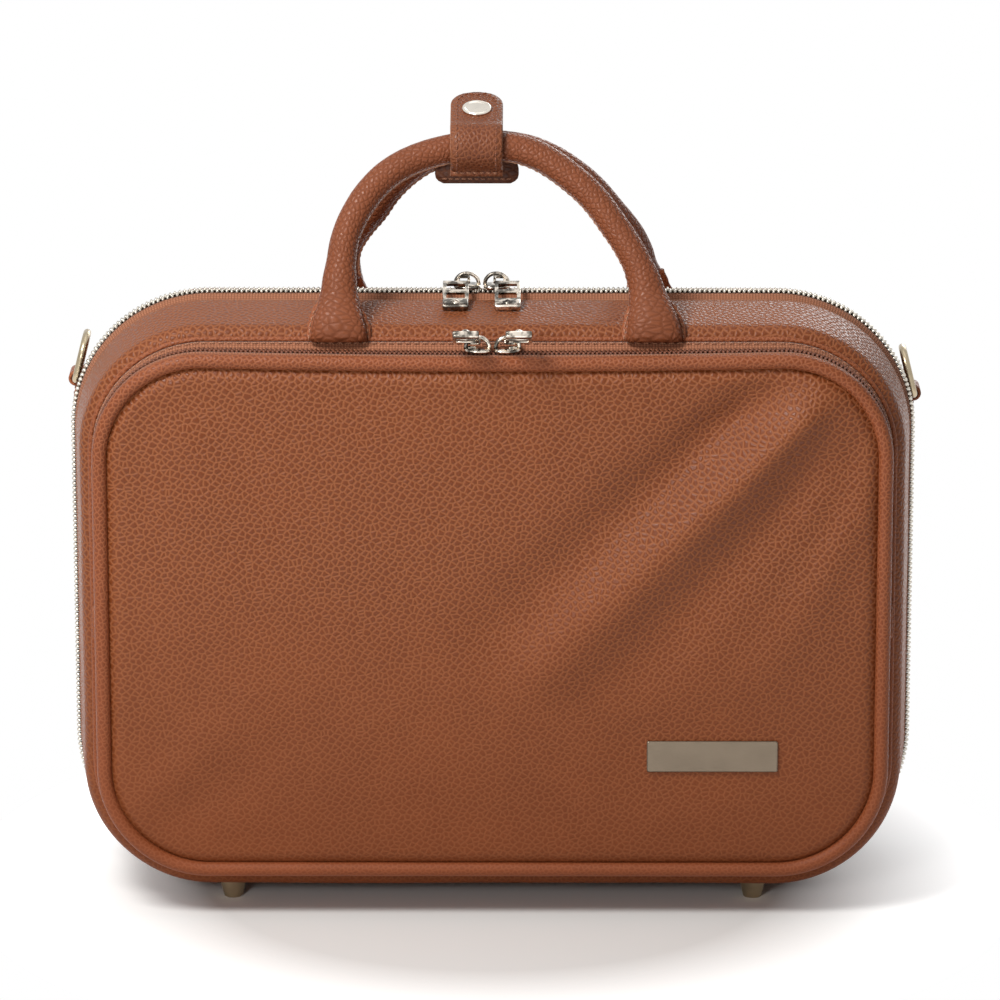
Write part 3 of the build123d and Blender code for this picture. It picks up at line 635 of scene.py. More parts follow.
def main_zip():
    """Sloped woven tapes and two rows of separate metal teeth that meet at the middle."""
    lengths = spread(ZIP_END_X, total(0) - ZIP_END_X, 3.0)
    top = [(-0.75, 1.4), (-0.7, 2.4), (-0.35, 3.3), (0.35, 4.6), (1.25, 5.9), (1.9, 7.6), (2.2, 10.4)]
    for name, side, body in HALVES:
        profile = [(i, side * y) for i, y in top] + [(i + 0.7, side * (y - 0.15)) for i, y in reversed(top)]
        make(f"{name}_zip_tape_woven", swept(profile, lengths, 0.0), TAPE, [f"{name}_zip_tape"], body)
        teeth = []
        start = ZIP_END_X + (1.0 if side > 0 else 2.0)
        for s in spread(start, total(0) - start, 2.0):
            out = normal_at(s)
            axes = (Y_AXIS.cross(out), vec(0, side, 0), out)
            teeth.append(block((1.22, 2.5, 2.3), at(s, -1.2, side * 1.42), axes, 0.42))
        make(f"{name}_zip_teeth", join(teeth), TEETH, [f"{name}_zip_chain"], body)


def hinge():
    """One leather strip under the case between lid and back, with a stitch row at each edge."""
    section = [(-13.9, 7.9), (-13.9, 6.9), (-13.0, 6.1), (-11.6, 5.95), (-8.0, 5.8), (-3.0, 5.68), (0.0, 5.66),
               (3.0, 5.68), (8.0, 5.8), (11.6, 5.95), (13.0, 6.1), (13.9, 6.9), (13.9, 7.9), (7.0, 7.95),
               (0.0, 7.7), (-7.0, 7.95)]
    rows = [[vec(x, y, z) for y, z in section] for x in spread(-111.6, 111.6, 4.0)]
    # The strip under the case takes the darkened leather: painted shade
    strip = make("hinge_leather", solid(rows), TAN_PAINTED_SHADE, ["back_hinge_strip", "lid_hinge_strip"])
    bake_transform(strip)
    for name, side, body in HALVES:
        line = [vec(x, side * 11.4, 5.96) for x in spread(-110.0, 110.0, 10.0)]
        sew(f"{name}_hinge_stitches", line, vec(0, 0, -1), THREAD_BROWN, body, (2.3, 3.3, 0.3))


# Pocket on the lid


def pocket_span(inset):
    """Lengths at which the pocket's split crosses the outline, on the left and on the right."""
    left = SPAN_X + (CORNER - inset) * pi / 2 + (SPLIT_Z - MID_Z + SPAN_Z)
    return left, total(inset) - left


def bend_pocket(piece):
    """Bakes one pocket piece's placement into its points."""
    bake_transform(piece)


# How far the pocket's zip sags in its middle, and the distance from there at which the sag ends
SAG, SAG_REACH = 2.6, 160.0


def slack(shape):
    """The pocket's open edge sagging between the corners: its zip, piping and panel hang lowest in the middle."""
    for p in shape[0]:
        share = ease(p.z, ((150.0, 0.0), (232.0, 1.0))) * clamp((-43.5 - p.y) / 4.5)
        p.z -= SAG * share * max(0.0, 1 - (p.x / SAG_REACH) ** 2)
    return shape


def outward_at(p):
    """Rough outward direction of the pocket's wall at a point."""
    return vec(p.x / 160, 0, (p.z - MID_Z) / 110)


def pocket_walls():
    """Welt, tapes, coils and lower gusset round the pocket."""
    left, right = pocket_span(POCKET_INSET)
    upper = spread(left, right, 3.0)
    base = POCKET_INSET
    whole = spread(0.0, total(base), 3.0)
    welt = arc((8.3, -42.5), 1.15, 0, 330, 11)
    make("pocket_welt_leather", swept(welt, whole, base, whole=True), TAN_FINE, ["pocket_back_welt"], "lid")
    strip = [(9.0, -43.3), (9.15, -44.4), (9.6, -45.9), (9.9, -46.9), (10.5, -46.9), (10.4, -44.4), (10.0, -43.3)]
    make("pocket_back_tape_woven", slack(swept(strip, upper, base)), TAPE, ["pocket_back_tape"], "lid")
    line = [at(s, 9.35, -44.9, base) for s in upper]
    sew("pocket_welt_stitches", line, outward_at, THREAD, "lid", (2.2, 3.4, 0.32))
    front = [(9.9, -51.1), (9.8, -52.0), (9.8, -53.4), (10.2, -54.0), (11.0, -54.0), (10.7, -52.5), (10.6, -51.1)]
    make("pocket_front_tape_woven", slack(swept(front, upper, base)), TAPE, ["pocket_front_tape"],
         "pocket_flap")
    for name, side, y, body, shift in (("back", 1, -48.05, "lid", 0.0), ("front", -1, -49.95, "pocket_flap", 0.9)):
        turns = []
        for s in spread(left + 0.9 + shift, right - 1.8 + shift, 1.8):
            out = normal_at(s, base)
            lean = (Y_AXIS.cross(out) * 0.94 + vec(0, side * 0.34, 0)).normalized()
            turns.append(block((1.2, 1.95, 1.5), at(s, 9.95, y, base), (lean, Y_AXIS, out), 0.5, 2))
        make(f"pocket_{name}_coil_turns", slack(join(turns)), NYLON, [f"pocket_{name}_coil"], body)

    lower = spread(right, left + total(base), 3.0)
    wall = [(8.9, -42.6), (9.5, -44.0), (9.9, -46.5), (10.05, -49.0), (9.95, -51.5), (9.9, -53.6), (10.6, -54.2),
            (11.4, -53.6), (11.4, -46.0), (10.4, -42.8)]
    make("pocket_gusset_leather", swept(wall, lower, base), TAN, ["pocket_lower_gusset"], "lid")
    line = [at(s, 9.72, -45.2, base) for s in lower]
    sew("pocket_gusset_stitches", line, outward_at, THREAD_BROWN, "lid", (2.2, 3.4, 0.28))


def pocket_zip_ends():
    """Leather ends of the pocket's zip, each with three sides sewn."""
    ends, threads = [], []
    for side in (-1, 1):
        x = side * (160.5 + 0.35)
        rows = []
        for t in spread(0.0, 1.0, 0.1):
            z = SPLIT_Z - 12.4 + 12.2 * t
            half = 4.0 * (1 - max(0.0, (0.16 - t) / 0.16) ** 2 * 0.35)
            section = ((-half, -0.5), (-half, 0.35), (-half + 0.4, 0.6), (0, 0.85), (half - 0.4, 0.6), (half, 0.35),
                       (half, -0.5))
            rows.append([vec(x + side * dx, POCKET_ZIP_Y + y, z) for y, dx in section])
        ends.append(solid(rows))
        line = [vec(x + side * 0.72, POCKET_ZIP_Y + y, z) for y, z in
                ((-2.9, 129.0), (-2.9, 119.6), (2.9, 119.6), (2.9, 129.0))]
        threads.append(stitch_mesh(line, vec(side, 0, 0), 1.6, 2.3, 0.2))
    make("pocket_zip_end_leather", join(ends), TAN_FINE, ["pocket_zip_ends"], "lid")
    make("pocket_zip_end_stitches", join(threads), THREAD_BROWN, body="lid")


def pocket_piping():
    """Leather piping round the pocket's front edge, one ring."""
    rows = []
    for s in spread(0.0, total(PIPING_INSET), 2.6)[:-1]:
        swell = 1 + 0.018 * noise.noise(vec(s / 23.0, 0.3, 0.7))
        section = arc((PIPING_INSET, -POCKET_FRONT), PIPING_RADIUS * swell, 0, 345, 23)
        rows.append([at(s, inset, y, PIPING_INSET) for inset, y in section])
    shape = slack(grid(rows, closed=True, looped=True))
    bend_pocket(make("pocket_piping_leather", shape, TAN_FINE, ["pocket_piping", "pocket_lower_piping"]))


# Soft folds of the pocket's panel: start, end, height and half width of each ridge
FOLDS = (
    ((142.0, 229.0), (24.0, 108.0), 7.4, 9.5),
    ((116.0, 233.0), (4.0, 126.0), -5.6, 11.0),
    ((154.0, 214.0), (50.0, 98.0), -3.2, 10.0),
    ((150.0, 224.0), (128.0, 176.0), 2.8, 6.0),
    ((138.0, 226.0), (112.0, 186.0), -1.4, 6.0),
    ((151.0, 174.0), (112.0, 110.0), 2.2, 8.0),
    ((146.0, 190.0), (112.0, 128.0), -1.6, 9.0),
    ((-148.0, 224.0), (-122.0, 186.0), -1.2, 6.0),
    ((-126.0, 200.0), (-114.0, 140.0), 1.5, 17.0),
    ((-150.0, 44.0), (-96.0, 92.0), 1.1, 8.0),
    ((-136.0, 36.0), (-70.0, 86.0), -0.8, 9.0),
)

# Lowest and highest corner of the plate, as x and z
PLATE_BOX = ((62.5, 63.0), (115.5, 76.0))


def fold_height(x, z):
    """How far the panel's soft folds stand forward at a point."""
    height = 0.0
    for (x0, z0), (x1, z1), rise, width in FOLDS:
        dx, dz = x1 - x0, z1 - z0
        t = clamp(((x - x0) * dx + (z - z0) * dz) / (dx * dx + dz * dz))
        away = hypot(x - x0 - t * dx, z - z0 - t * dz)
        height += rise * (1 - 0.62 * t) * pow(2.718, -((away / (width * (0.8 + 0.55 * t))) ** 2))
    return height


def plate_clear(x, z):
    """0 under the metal plate, where the panel is pulled flat, rising to 1 away from it."""
    low, high = PLATE_BOX
    away = hypot(max(low[0] - x, x - high[0], 0.0), max(low[1] - z, z - high[1], 0.0))
    return soft_step(away / 26.0)


# The panel's inset and plane, how far it stands in front of its piping's groove, its crown, and its grid
PANEL_INSET, PANEL_Y, PANEL_LIFT, PANEL_CROWN = 13.4, -54.4, 3.5, 2.2
PANEL_ROWS, PANEL_COLUMNS = 90, 130


def half_width(z, radius):
    """Half the width of a rounded rectangle round the outline's straight runs, at a height."""
    over = max(0.0, abs(z - MID_Z) - SPAN_Z)
    return SPAN_X + sqrt(max(0.0, radius * radius - over * over))


def panel_depth(x, z, half_x, half_z, radius):
    """How far the panel's leather stands in depth at a point."""
    deep = edge_depth(x, z, half_x, half_z, radius)
    lift = 1 - pow(1 - clamp((deep - 1.4) / 5.5), 2.4)
    share = (1 - (x / half_x) ** 2) * (1 - ((z - MID_Z) / half_z) ** 2)
    crown = PANEL_CROWN * sqrt(max(0.0, share))
    drift = 0.5 * noise.noise(vec(x / 70, z / 60, 1.7)) + 0.14 * noise.noise(vec(x / 21, z / 19, 4.1))
    soft = min(1.0, deep / 22.0) * (fold_height(x, z) + drift)
    return PANEL_Y - PANEL_LIFT * lift - plate_clear(x, z) * (crown + soft)


def pocket_panel():
    """The pocket's front: one padded panel of leather, crowned, softly folded and tucked behind its piping."""
    radius = CORNER - PANEL_INSET
    half_x, half_z = SPAN_X + radius, SPAN_Z + radius
    rows = []
    for i in range(PANEL_ROWS + 1):
        t = -1 + 2 * i / PANEL_ROWS
        z = MID_Z + half_z * (0.86 * t + 0.14 * sin(t * pi / 2))
        row = []
        for j in range(PANEL_COLUMNS + 1):
            t = -1 + 2 * j / PANEL_COLUMNS
            x = half_width(z, radius) * (0.9 * t + 0.1 * sin(t * pi / 2))
            row.append(vec(x, panel_depth(x, z, half_x, half_z, radius), z))
        rows.append(row)
    shape = plane_coords(slack(grid(rows)))
    bend_pocket(make("pocket_panel_leather", shape, TAN, ["pocket_panel", "pocket_lower_panel"], thick=2.2,
                     outward=-1))


def edge_depth(x, z, half_x, half_z, radius):
    """Distance from a point inside a rounded rectangle to its edge."""
    dx, dz = abs(x) - (half_x - radius), abs(z - MID_Z) - (half_z - radius)
    if dx > 0 and dz > 0:
        return max(0.0, radius - hypot(dx, dz))
    return max(0.0, min(half_x - abs(x), half_z - abs(z - MID_Z)))


# Handles and their wrap


def rounded(corners, radii, step):
    """Points along a line whose inner corners are rounded."""
    points = [Vector(corners[0])]
    for i, radius in enumerate(radii, 1):
        before, here, after = (Vector(corners[k]) for k in (i - 1, i, i + 1))
        one, two = (before - here).normalized(), (after - here).normalized()
        half = one.angle(two) / 2
        middle = here + (one + two).normalized() * (radius / sin(half))
        first, last = here + one * (radius / tan(half)), here + two * (radius / tan(half))
        swing = pi - 2 * half
        for k in range(13):
            share = k / 12
            ray = (first - middle) * sin((1 - share) * swing) + (last - middle) * sin(share * swing)
            points.append(middle + ray / sin(swing))
    points.append(Vector(corners[-1]))
    return [p for p, _ in walk(points, step)]


def ease(value, pairs):
    """A value read from a smooth table of (place, value) pairs."""
    if value <= pairs[0][0]:
        return pairs[0][1]
    for (a, first), (b, last) in zip(pairs, pairs[1:]):
        if value <= b:
            return first + (last - first) * soft_step((value - a) / (b - a))
    return pairs[-1][1]


class Handle:
    """One handle's frame: the arc of its tabs over the case's edge, then its leaning plane."""

    def __init__(self, half):
        self.side, self.rise = half["side"], half["rise"]
        lean = radians(half["lean"])
        self.up = vec(0, -self.side * sin(lean), cos(lean))
        self.out = vec(0, self.side * cos(lean), sin(lean))
        self.edge_y, self.edge_z = edge_arc(half)
        self.reach, self.tail = half["edge"] + TAB_WALL / 2, half["tail"]
        self.halves, self.flange = half["halves"], half["flange"]
        outer = half["edge"] + TAB_WALL
        self.fold = vec(0, self.side * (self.edge_y + outer * cos(FOLD_ANGLE)),
                            self.edge_z + outer * sin(FOLD_ANGLE))
        self.origin = self.fold + vec(HANDLE_X, 0, 0) - self.out * (TAB_WALL / 2)

    def spot(self, x, v):
        """A point, the way up the handle and the outward normal, at a distance above or below the fold."""
        if v >= 0:
            return self.origin + vec(x, 0, 0) + self.up * v, self.up, self.out
        angle = FOLD_ANGLE + v / self.reach
        out = vec(0, self.side * cos(angle), sin(angle))
        up = vec(0, -self.side * sin(angle), cos(angle))
        middle = vec(HANDLE_X + x, self.side * self.edge_y, self.edge_z)
        return middle + out * self.reach, up, out


def sag(side, x, v):
    """How far a soft handle hangs out of its plane: the back one low and drawn in, the front one leaning left."""
    if side > 0:
        high, low = ease(v, ((14.0, 0.0), (50.0, 1.0))), ease(v, ((0.0, 0.0), (14.0, 1.0)))
        across = ease(x, ((-44.0, 5.6), (-10.0, 3.0), (10.0, 1.0), (44.0, -1.0)))
        drawn_in = 2.0 * low * ease(x, ((10.0, 0.0), (44.0, 1.0)))
        return vec(across, -1.0, -3.0) * high - X_AXIS * drawn_in
    left, right = ease(-x, ((12.0, 0.0), (40.0, 1.0))), ease(x, ((12.0, 0.0), (40.0, 1.0)))
    bulge = vec(-2.6, 0.0, 0.4) * ease(v, ((20.0, 0.0), (46.0, 1.0))) * left
    return bulge + vec(-3.0, 0.0, -0.6) * ease(v, ((6.0, 0.0), (46.0, 1.0))) * right


# Half the distance between a handle's legs, and how far under the fold the points of its right and left end lie,
# as shares of the handle's tail
LEG_X = 63.0
DROPS = ((1.0, (1.0, 0.75, 0.5, 0.25)), (-1.0, (0.02, 0.25, 0.5, 0.75, 1.0)))
# A roll's half thickness, and the roundness of its section, by the length above the fold
THICKNESS = ((-8, 3.6), (-3, 4.8), (3, 5.5), (9, 5.9), (17, 6.0), (28, 5.9), (40, 5.75))
ROUNDNESS = ((-8, 0.72), (4, 0.86), (20, 1.0))


def skewed(x, v):
    """A place across a handle, which leans a little to the left as it rises."""
    return x - HANDLE_SKEW * max(0.0, v)


def signed_power(value, power):
    """A power that keeps its base's sign."""
    return abs(value) ** power * (1 if value > 0 else -1)


def handle_line(frame_of):
    """A handle's middle line in its own plane, the shorter way to one of its ends, and its spots in space."""
    corners = [(LEG_X, 0.0, 0), (60.8, 0.395 * frame_of.rise, 0), (34.0, frame_of.rise, 0)]
    corners += [(-x, v, 0) for x, v, _ in reversed(corners)]
    legs = [[vec(side * LEG_X, -drop * frame_of.tail, 0) for drop in drops] for side, drops in DROPS]
    route = legs[0] + rounded(corners, (60.0, 56.0, 56.0, 60.0), 2.2) + legs[1]
    gone = [0.0]
    for a, b in zip(route, route[1:]):
        gone.append(gone[-1] + (b - a).length)
    ends = [min(d, gone[-1] - d) for d in gone]
    spots = []
    for p in route:
        centre, up, out = frame_of.spot(skewed(p.x, p.y), p.y)
        spots.append([centre + sag(frame_of.side, p.x, p.y), up, out])
    for _ in range(10):
        before = [[v.copy() for v in spot] for spot in spots]
        for i in range(1, len(spots) - 1):
            if ends[i] < frame_of.tail + 16.0:
                spots[i] = [(before[i - 1][k] + before[i][k] * 2 + before[i + 1][k]) / 4 for k in range(3)]
    return route, ends, spots


def handle_roll(frame_of):
    """Rows of a handle's rolled leather, and the seam on its inner side as points with directions."""
    route, ends, spots = handle_line(frame_of)
    rows, seam = [], []
    for i, p in enumerate(route):
        d = ends[i] - frame_of.tail
        d *= 8.0 / frame_of.tail if d < 0 else 1.0
        centre, up, out = spots[i][0], spots[i][1].normalized(), spots[i][2].normalized()
        ahead = route[min(i + 1, len(route) - 1)] - route[max(i - 1, 0)]
        side_way = (X_AXIS * ahead.x + up * ahead.y).normalized().cross(out).normalized()
        half, thick, power = ease(d, frame_of.halves), ease(d, THICKNESS), ease(d, ROUNDNESS)
        middle = centre + out * ((thick - 1.2) * clamp(1 - d / 13))
        crease = 1 + 0.012 * noise.noise(centre / 7.0)
        row = []
        for k in range(28):
            a = 2 * pi * k / 28
            row.append(middle + crease * (side_way * half * signed_power(cos(a), power)
                                          + out * thick * signed_power(sin(a), power)))
        rows.append(row)
        if d > 9:
            inward = side_way if side_way.dot(vec(skewed(p.x, p.y), 0, 30)) < 0 else -side_way
            way = (inward * 0.9 - out * 0.44).normalized()
            seam.append((centre + way * half, way))
    return solid(rows), seam


def handle_flanges(frame_of):
    """The sewn lower ply at each foot of a handle, and the stitches along its edges."""
    heights = [-frame_of.tail * k / 5 for k in (5, 4, 3, 2, 1)]
    heights += [0.0, 1.2, 2.4, 3.6, 4.8, 6.0, 7.2, 8.4, 9.8, 11.2]
    widths = [ease(v, frame_of.flange) for v in heights]
    plies, threads = [], []
    for leg in (-LEG_X, LEG_X):
        spots = [frame_of.spot(skewed(leg, v), v) for v in heights]
        normals = [out for _, _, out in spots]
        middle = [p - out * 0.25 for p, _, out in spots]
        plies.append(ribbon(middle, normals, X_AXIS, widths, 1.9, 0.5))
        for edge in (-1, 1):
            line = [p + n * 0.95 + X_AXIS * (edge * (w - 1.15)) for p, n, w in zip(middle, normals, widths)][:11]
            threads.append(stitch_mesh(line, vec(0, frame_of.side * 0.75, 0.65), 1.9, 2.6, 0.3))
    return join(plies), join(threads)


def handles():
    """Rolled handles that flatten into stitched flanges, each bending at the case's edge."""
    for name, half, body, grip in (("front", LID, "lid", "front_handle"), ("back", BACK, "case_back", "back_handle")):
        frame_of = Handle(half)
        shape, seam = handle_roll(frame_of)
        roll = make(f"{name}_handle_leather", shape, GRIP_TAN,
                    [f"{name}_grip", f"{name}_handle_tabs", f"{name}_grip_core"])
        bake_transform(roll)
        make(f"{name}_handle_seam", tube([p for p, _ in seam], 0.55, 8), CUT_EDGE, body=grip)
        sew(f"{name}_handle_stitches", [p + way * 0.3 for p, way in seam], nearest(seam), THREAD, grip,
            (2.0, 3.2, 0.34))
        plies, threads = handle_flanges(frame_of)
        ply = make(f"{name}_handle_flanges", plies, TAN_FINE)
        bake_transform(ply)
        rows_of = make(f"{name}_flange_stitches", threads, THREAD)
        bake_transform(rows_of)


def turn(centre_y, radius, start, end, count):
    """Points and outward normals round a handle, in the wrap's middle plane."""
    found = []
    for i in range(count + 1):
        a = radians(start + (end - start) * i / count)
        out = vec(0, cos(a), sin(a))
        found.append((vec(WRAP_X, centre_y, GRIP_Z) + out * radius, out))
    return found


def upright(y, heights, normal):
    """Points and normals down one side of the wrap."""
    return [(vec(WRAP_X, y, z), normal) for z in heights]


def straps(path, widths, wall):
    """A ribbon along points with normals."""
    return ribbon([p for p, _ in path], [n for _, n in path], X_AXIS, widths, wall, 0.4)


# The tail of the wrap: its slope, the underside of its cap, its length and half width, and where it bends
TAIL_SLOPE = radians(16.0)
TAIL_ALONG, TAIL_UP = vec(0, cos(TAIL_SLOPE), sin(TAIL_SLOPE)), vec(0, -sin(TAIL_SLOPE), cos(TAIL_SLOPE))
CAP_UNDER = vec(WRAP_X, 3.799, 322.247)
TAIL_LENGTH, TAIL_HALF, TAIL_ROUND = 24.0 / cos(TAIL_SLOPE), 10.5, 9.2
# How far the strap's stitches lie from its edge and above its middle
SEAM_INSET, SEAM_LIFT = 2.5, 0.86


def wrap_strap():
    """Strap round the front handle with its rounded tail, its pale cut edge and its stitches."""
    root = CAP_UNDER + TAIL_ALONG * ((-6.0 - CAP_UNDER.y) / cos(TAIL_SLOPE)) + TAIL_UP * 0.8
    path = upright(-11.0, (299.5, 300.6, 301.8), -Y_AXIS) + turn(-GRIP_Y, 9.0, 243, 104, 18)
    tail_start = len(path)
    path += [(root + TAIL_ALONG * (TAIL_LENGTH * k / 20), TAIL_UP) for k in range(21)]
    widths = []
    for i in range(len(path)):
        left = TAIL_LENGTH * (1 - (i - tail_start) / 20) if i >= tail_start else 99.0
        short = max(0.0, TAIL_ROUND - left)
        round_off = TAIL_ROUND - sqrt(max(0.0, TAIL_ROUND**2 - short**2))
        narrow = 0.25 * ease(i, ((0, 0.0), (8, 1.0), (20, 0.2)))
        widths.append(max(1.6, TAIL_HALF - narrow - round_off))
    strap = make("wrap_strap_leather", straps(path, widths, 1.7), STRAP_TAN, ["wrap_tail"])
    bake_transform(strap)
    core = straps([(p - n * 0.15, n) for p, n in path], [w + 0.14 for w in widths], 0.7)
    edge = make("wrap_strap_edge", core, CUT_EDGE)
    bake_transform(edge)

    def seam(side, first, last):
        """Points along one edge of the strap, where it is wide enough to be sewn."""
        return [p + n * SEAM_LIFT + X_AXIS * (side * (w - SEAM_INSET))
                for (p, n), w in list(zip(path, widths))[first:last] if w > SEAM_INSET + 1.2]

    end_on = path[-1][0] + TAIL_UP * SEAM_LIFT - TAIL_ALONG * SEAM_INSET
    line = seam(-1, tail_start + 1, None) + [end_on] + seam(1, tail_start + 1, None)[::-1]
    sew("wrap_tail_stitches", line, TAIL_UP, THREAD_BROWN, "tail", (1.9, 2.7, 0.3))
    sides = []
    for side in (-1, 1):
        line = seam(side, 1, tail_start)
        pairs = list(zip(line, [n for _, n in path[1:tail_start]]))
        sides.append(stitch_mesh(line, nearest(pairs), 1.9, 2.7, 0.3))
    make("wrap_side_stitches", join(sides), THREAD_BROWN, body="front_handle")
    line = [vec(WRAP_X + x, -11.9, 301.0) for x in spread(-9.6, 9.6, 2.0)]
    sew("wrap_strap_stitches", line, -Y_AXIS, THREAD, "front_handle")


def wrap_inside():
    """Inner loop on the front handle, the wide pad on the back one, the pad's stitches and the snap's cap."""
    down = (302.4, 301.0, 299.6)
    inner = upright(-9.35, down[::-1], -Y_AXIS) + turn(-GRIP_Y, 7.5, 252, -72, 34) + upright(-7.85, down, Y_AXIS)
    # Inner loop in the darkened leather: painted shade inside the wrap
    make("wrap_loop_leather", straps(inner, [10.3] * len(inner), 1.35), TAN_PAINTED_SHADE, ["wrap_loop"], "front_handle")

    down = (302.2, 300.4, 298.4, 296.8, 295.6, 294.7)
    pad = upright(7.76, down[::-1], -Y_AXIS) + turn(GRIP_Y, 7.5, 258, -78, 34) + upright(9.24, down, Y_AXIS)
    widths = [ease(p.z, ((301.0, 17.0), (309.0, 9.8))) for p, _ in pad]
    pad = [(p - vec(0, 0, ease(-p.z, ((-314.0, 0.0), (-304.0, 2.4)))), n) for p, n in pad]
    widths = [w - 3.2 * max(0.0, 1 - min(i, len(pad) - 1 - i) / 3.0) ** 2 for i, w in enumerate(widths)]
    # Pad in the darkened leather: painted shade behind the grips
    make("wrap_pad_leather", straps(pad, widths, 1.4), TAN_PAINTED_SHADE, ["wrap_pad"], "back_handle")
    threads = []
    for y, way in ((7.05, -1), (9.95, 1)):
        line = [vec(WRAP_X + x, y, 294.2) for x in spread(-14.4, 14.4, 2.0)]
        threads.append(stitch_mesh(line, Y_AXIS * way, 1.9, 2.6, 0.3))
    make("wrap_pad_stitches", join(threads), THREAD, body="back_handle")

    cap = [(5.3, -0.15), (5.75, 0.0), (5.95, 0.35), (5.9, 0.8), (5.6, 1.15), (5.2, 1.28), (4.8, 1.18), (4.5, 0.92),
           (4.25, 0.84), (3.0, 0.9), (1.5, 0.97), (0.3, 1.0)]
    make("snap_cap_metal", lathe(cap, CAP_UNDER + TAIL_UP * 1.6, TAIL_UP, 48), NICKEL, ["snap_cap"], "tail")


# Sliders, pulls and ring tabs


def slab(outline, centre, layers):
    """A flat lying piece with rounded edges: one outline at several heights and scales."""
    rows = [[centre + vec(x * scale, y * scale, height) for x, y in outline] for height, scale in layers]
    return solid(rows)


def slider(name, x, y, top, under, outward):
    """Slider body with a leaf-shaped top plate, side flanges, under plate, web and half-ring bail."""
    leaf = []
    for k in range(36):
        c, s = cos(2 * pi * k / 36), sin(2 * pi * k / 36)
        leaf.append((5.4 * signed_power(c, 0.7), 4.3 * (1 - 0.16 * c * outward) * signed_power(s, 0.75)))
    plate = ((0.0, 0.95), (0.2, 1.0), (0.85, 1.0), (1.2, 0.93), (1.42, 0.74))
    turns = [pi * k / 24 for k in range(25)]
    arch = [vec(x + 4.75 * cos(a), y, top + 1.0 + 4.75 * sin(a) ** 0.85) for a in turns]
    parts = [slab(leaf, vec(x, y, top), plate),
             slab(leaf, vec(x, y, under), [(-h, 0.9 * s) for h, s in plate]),
             block((3.0, 0.6, top - under + 1.0), (x - outward * 3.4, y, (top + under) / 2), edge=0.15),
             block((3.4, 2.6, 0.9), (x + outward * 2.2, y, top + 1.6), edge=0.35, levels=2),
             tube(arch, 0.82, 12)]
    make(f"{name}_metal", join(parts), PULL_METAL, [name], name)


# A pull's bars: size, place across from the middle and along the pull, for its eye and for its ladder
EYE_BARS = (((5.2, 1.1, 1.3), 0.0, -1.35), ((1.15, 5.4, 1.3), -2.05, 0.9), ((1.15, 5.4, 1.3), 2.05, 0.9))
LADDER_BARS = (((1.5, 18.0, 1.5), -4.5, 12.2), ((1.5, 18.0, 1.5), 4.5, 12.2), ((9.6, 2.3, 1.45), 0.0, 11.5),
               ((9.6, 1.6, 1.45), 0.0, 18.3))


def pull(name, x, y, bar_z, outward, angle):
    """Ladder pull: a slotted neck, two rails with rungs, and a thick end with a small faceted stud."""
    turned = radians(angle)
    along, out = vec(0, -cos(turned), sin(turned)), vec(0, sin(turned), cos(turned))
    eye, centre = x + outward * 1.3, x + outward * 4.5
    start = vec(0, y, bar_z)

    def bar(size, px, v, edge=0.32):
        return block(size, start + X_AXIS * px + along * v, (X_AXIS, along, out), edge, 2)

    parts = [bar(size, eye + px, v) for size, px, v in EYE_BARS]
    parts.append(bar((9.6, 2.3, 1.5), centre - outward * 0.35, 4.4))
    parts += [bar(size, centre + px, v) for size, px, v in LADDER_BARS]
    parts.append(bar((10.5, 6.0, 2.7), centre, 22.0, 0.75))
    stud = [(2.1, 0.0), (2.0, 0.25), (0.9, 0.85), (0.12, 1.1)]
    parts.append(lathe(stud, start + X_AXIS * centre + along * 22.0 + out * 1.3, out, 4))
    make(f"{name}_metal", join(parts), PULL_METAL, [name], name)


def sliders_and_pulls():
    """The two main and two pocket sliders with their pulls."""
    for side, outward in (("left", -1), ("right", 1)):
        slider(f"main_slider_{side}", -4.5 + outward * 6.0, 0.0, 250.8, 245.5, outward)
        pull(f"main_pull_{side}", -4.5 + outward * 6.0, 0.0, 254.5, outward, -15.32)
        slider(f"pocket_slider_{side}", outward * 6.0, POCKET_ZIP_Y, 236.5, 234.3, outward)
        pull(f"pocket_pull_{side}", outward * 6.0, POCKET_ZIP_Y, 240.0, outward, 22.0)


# Side and height of each D-ring
RING_PLACES = (("left", -1, 210.0), ("right", 1, 204.0))


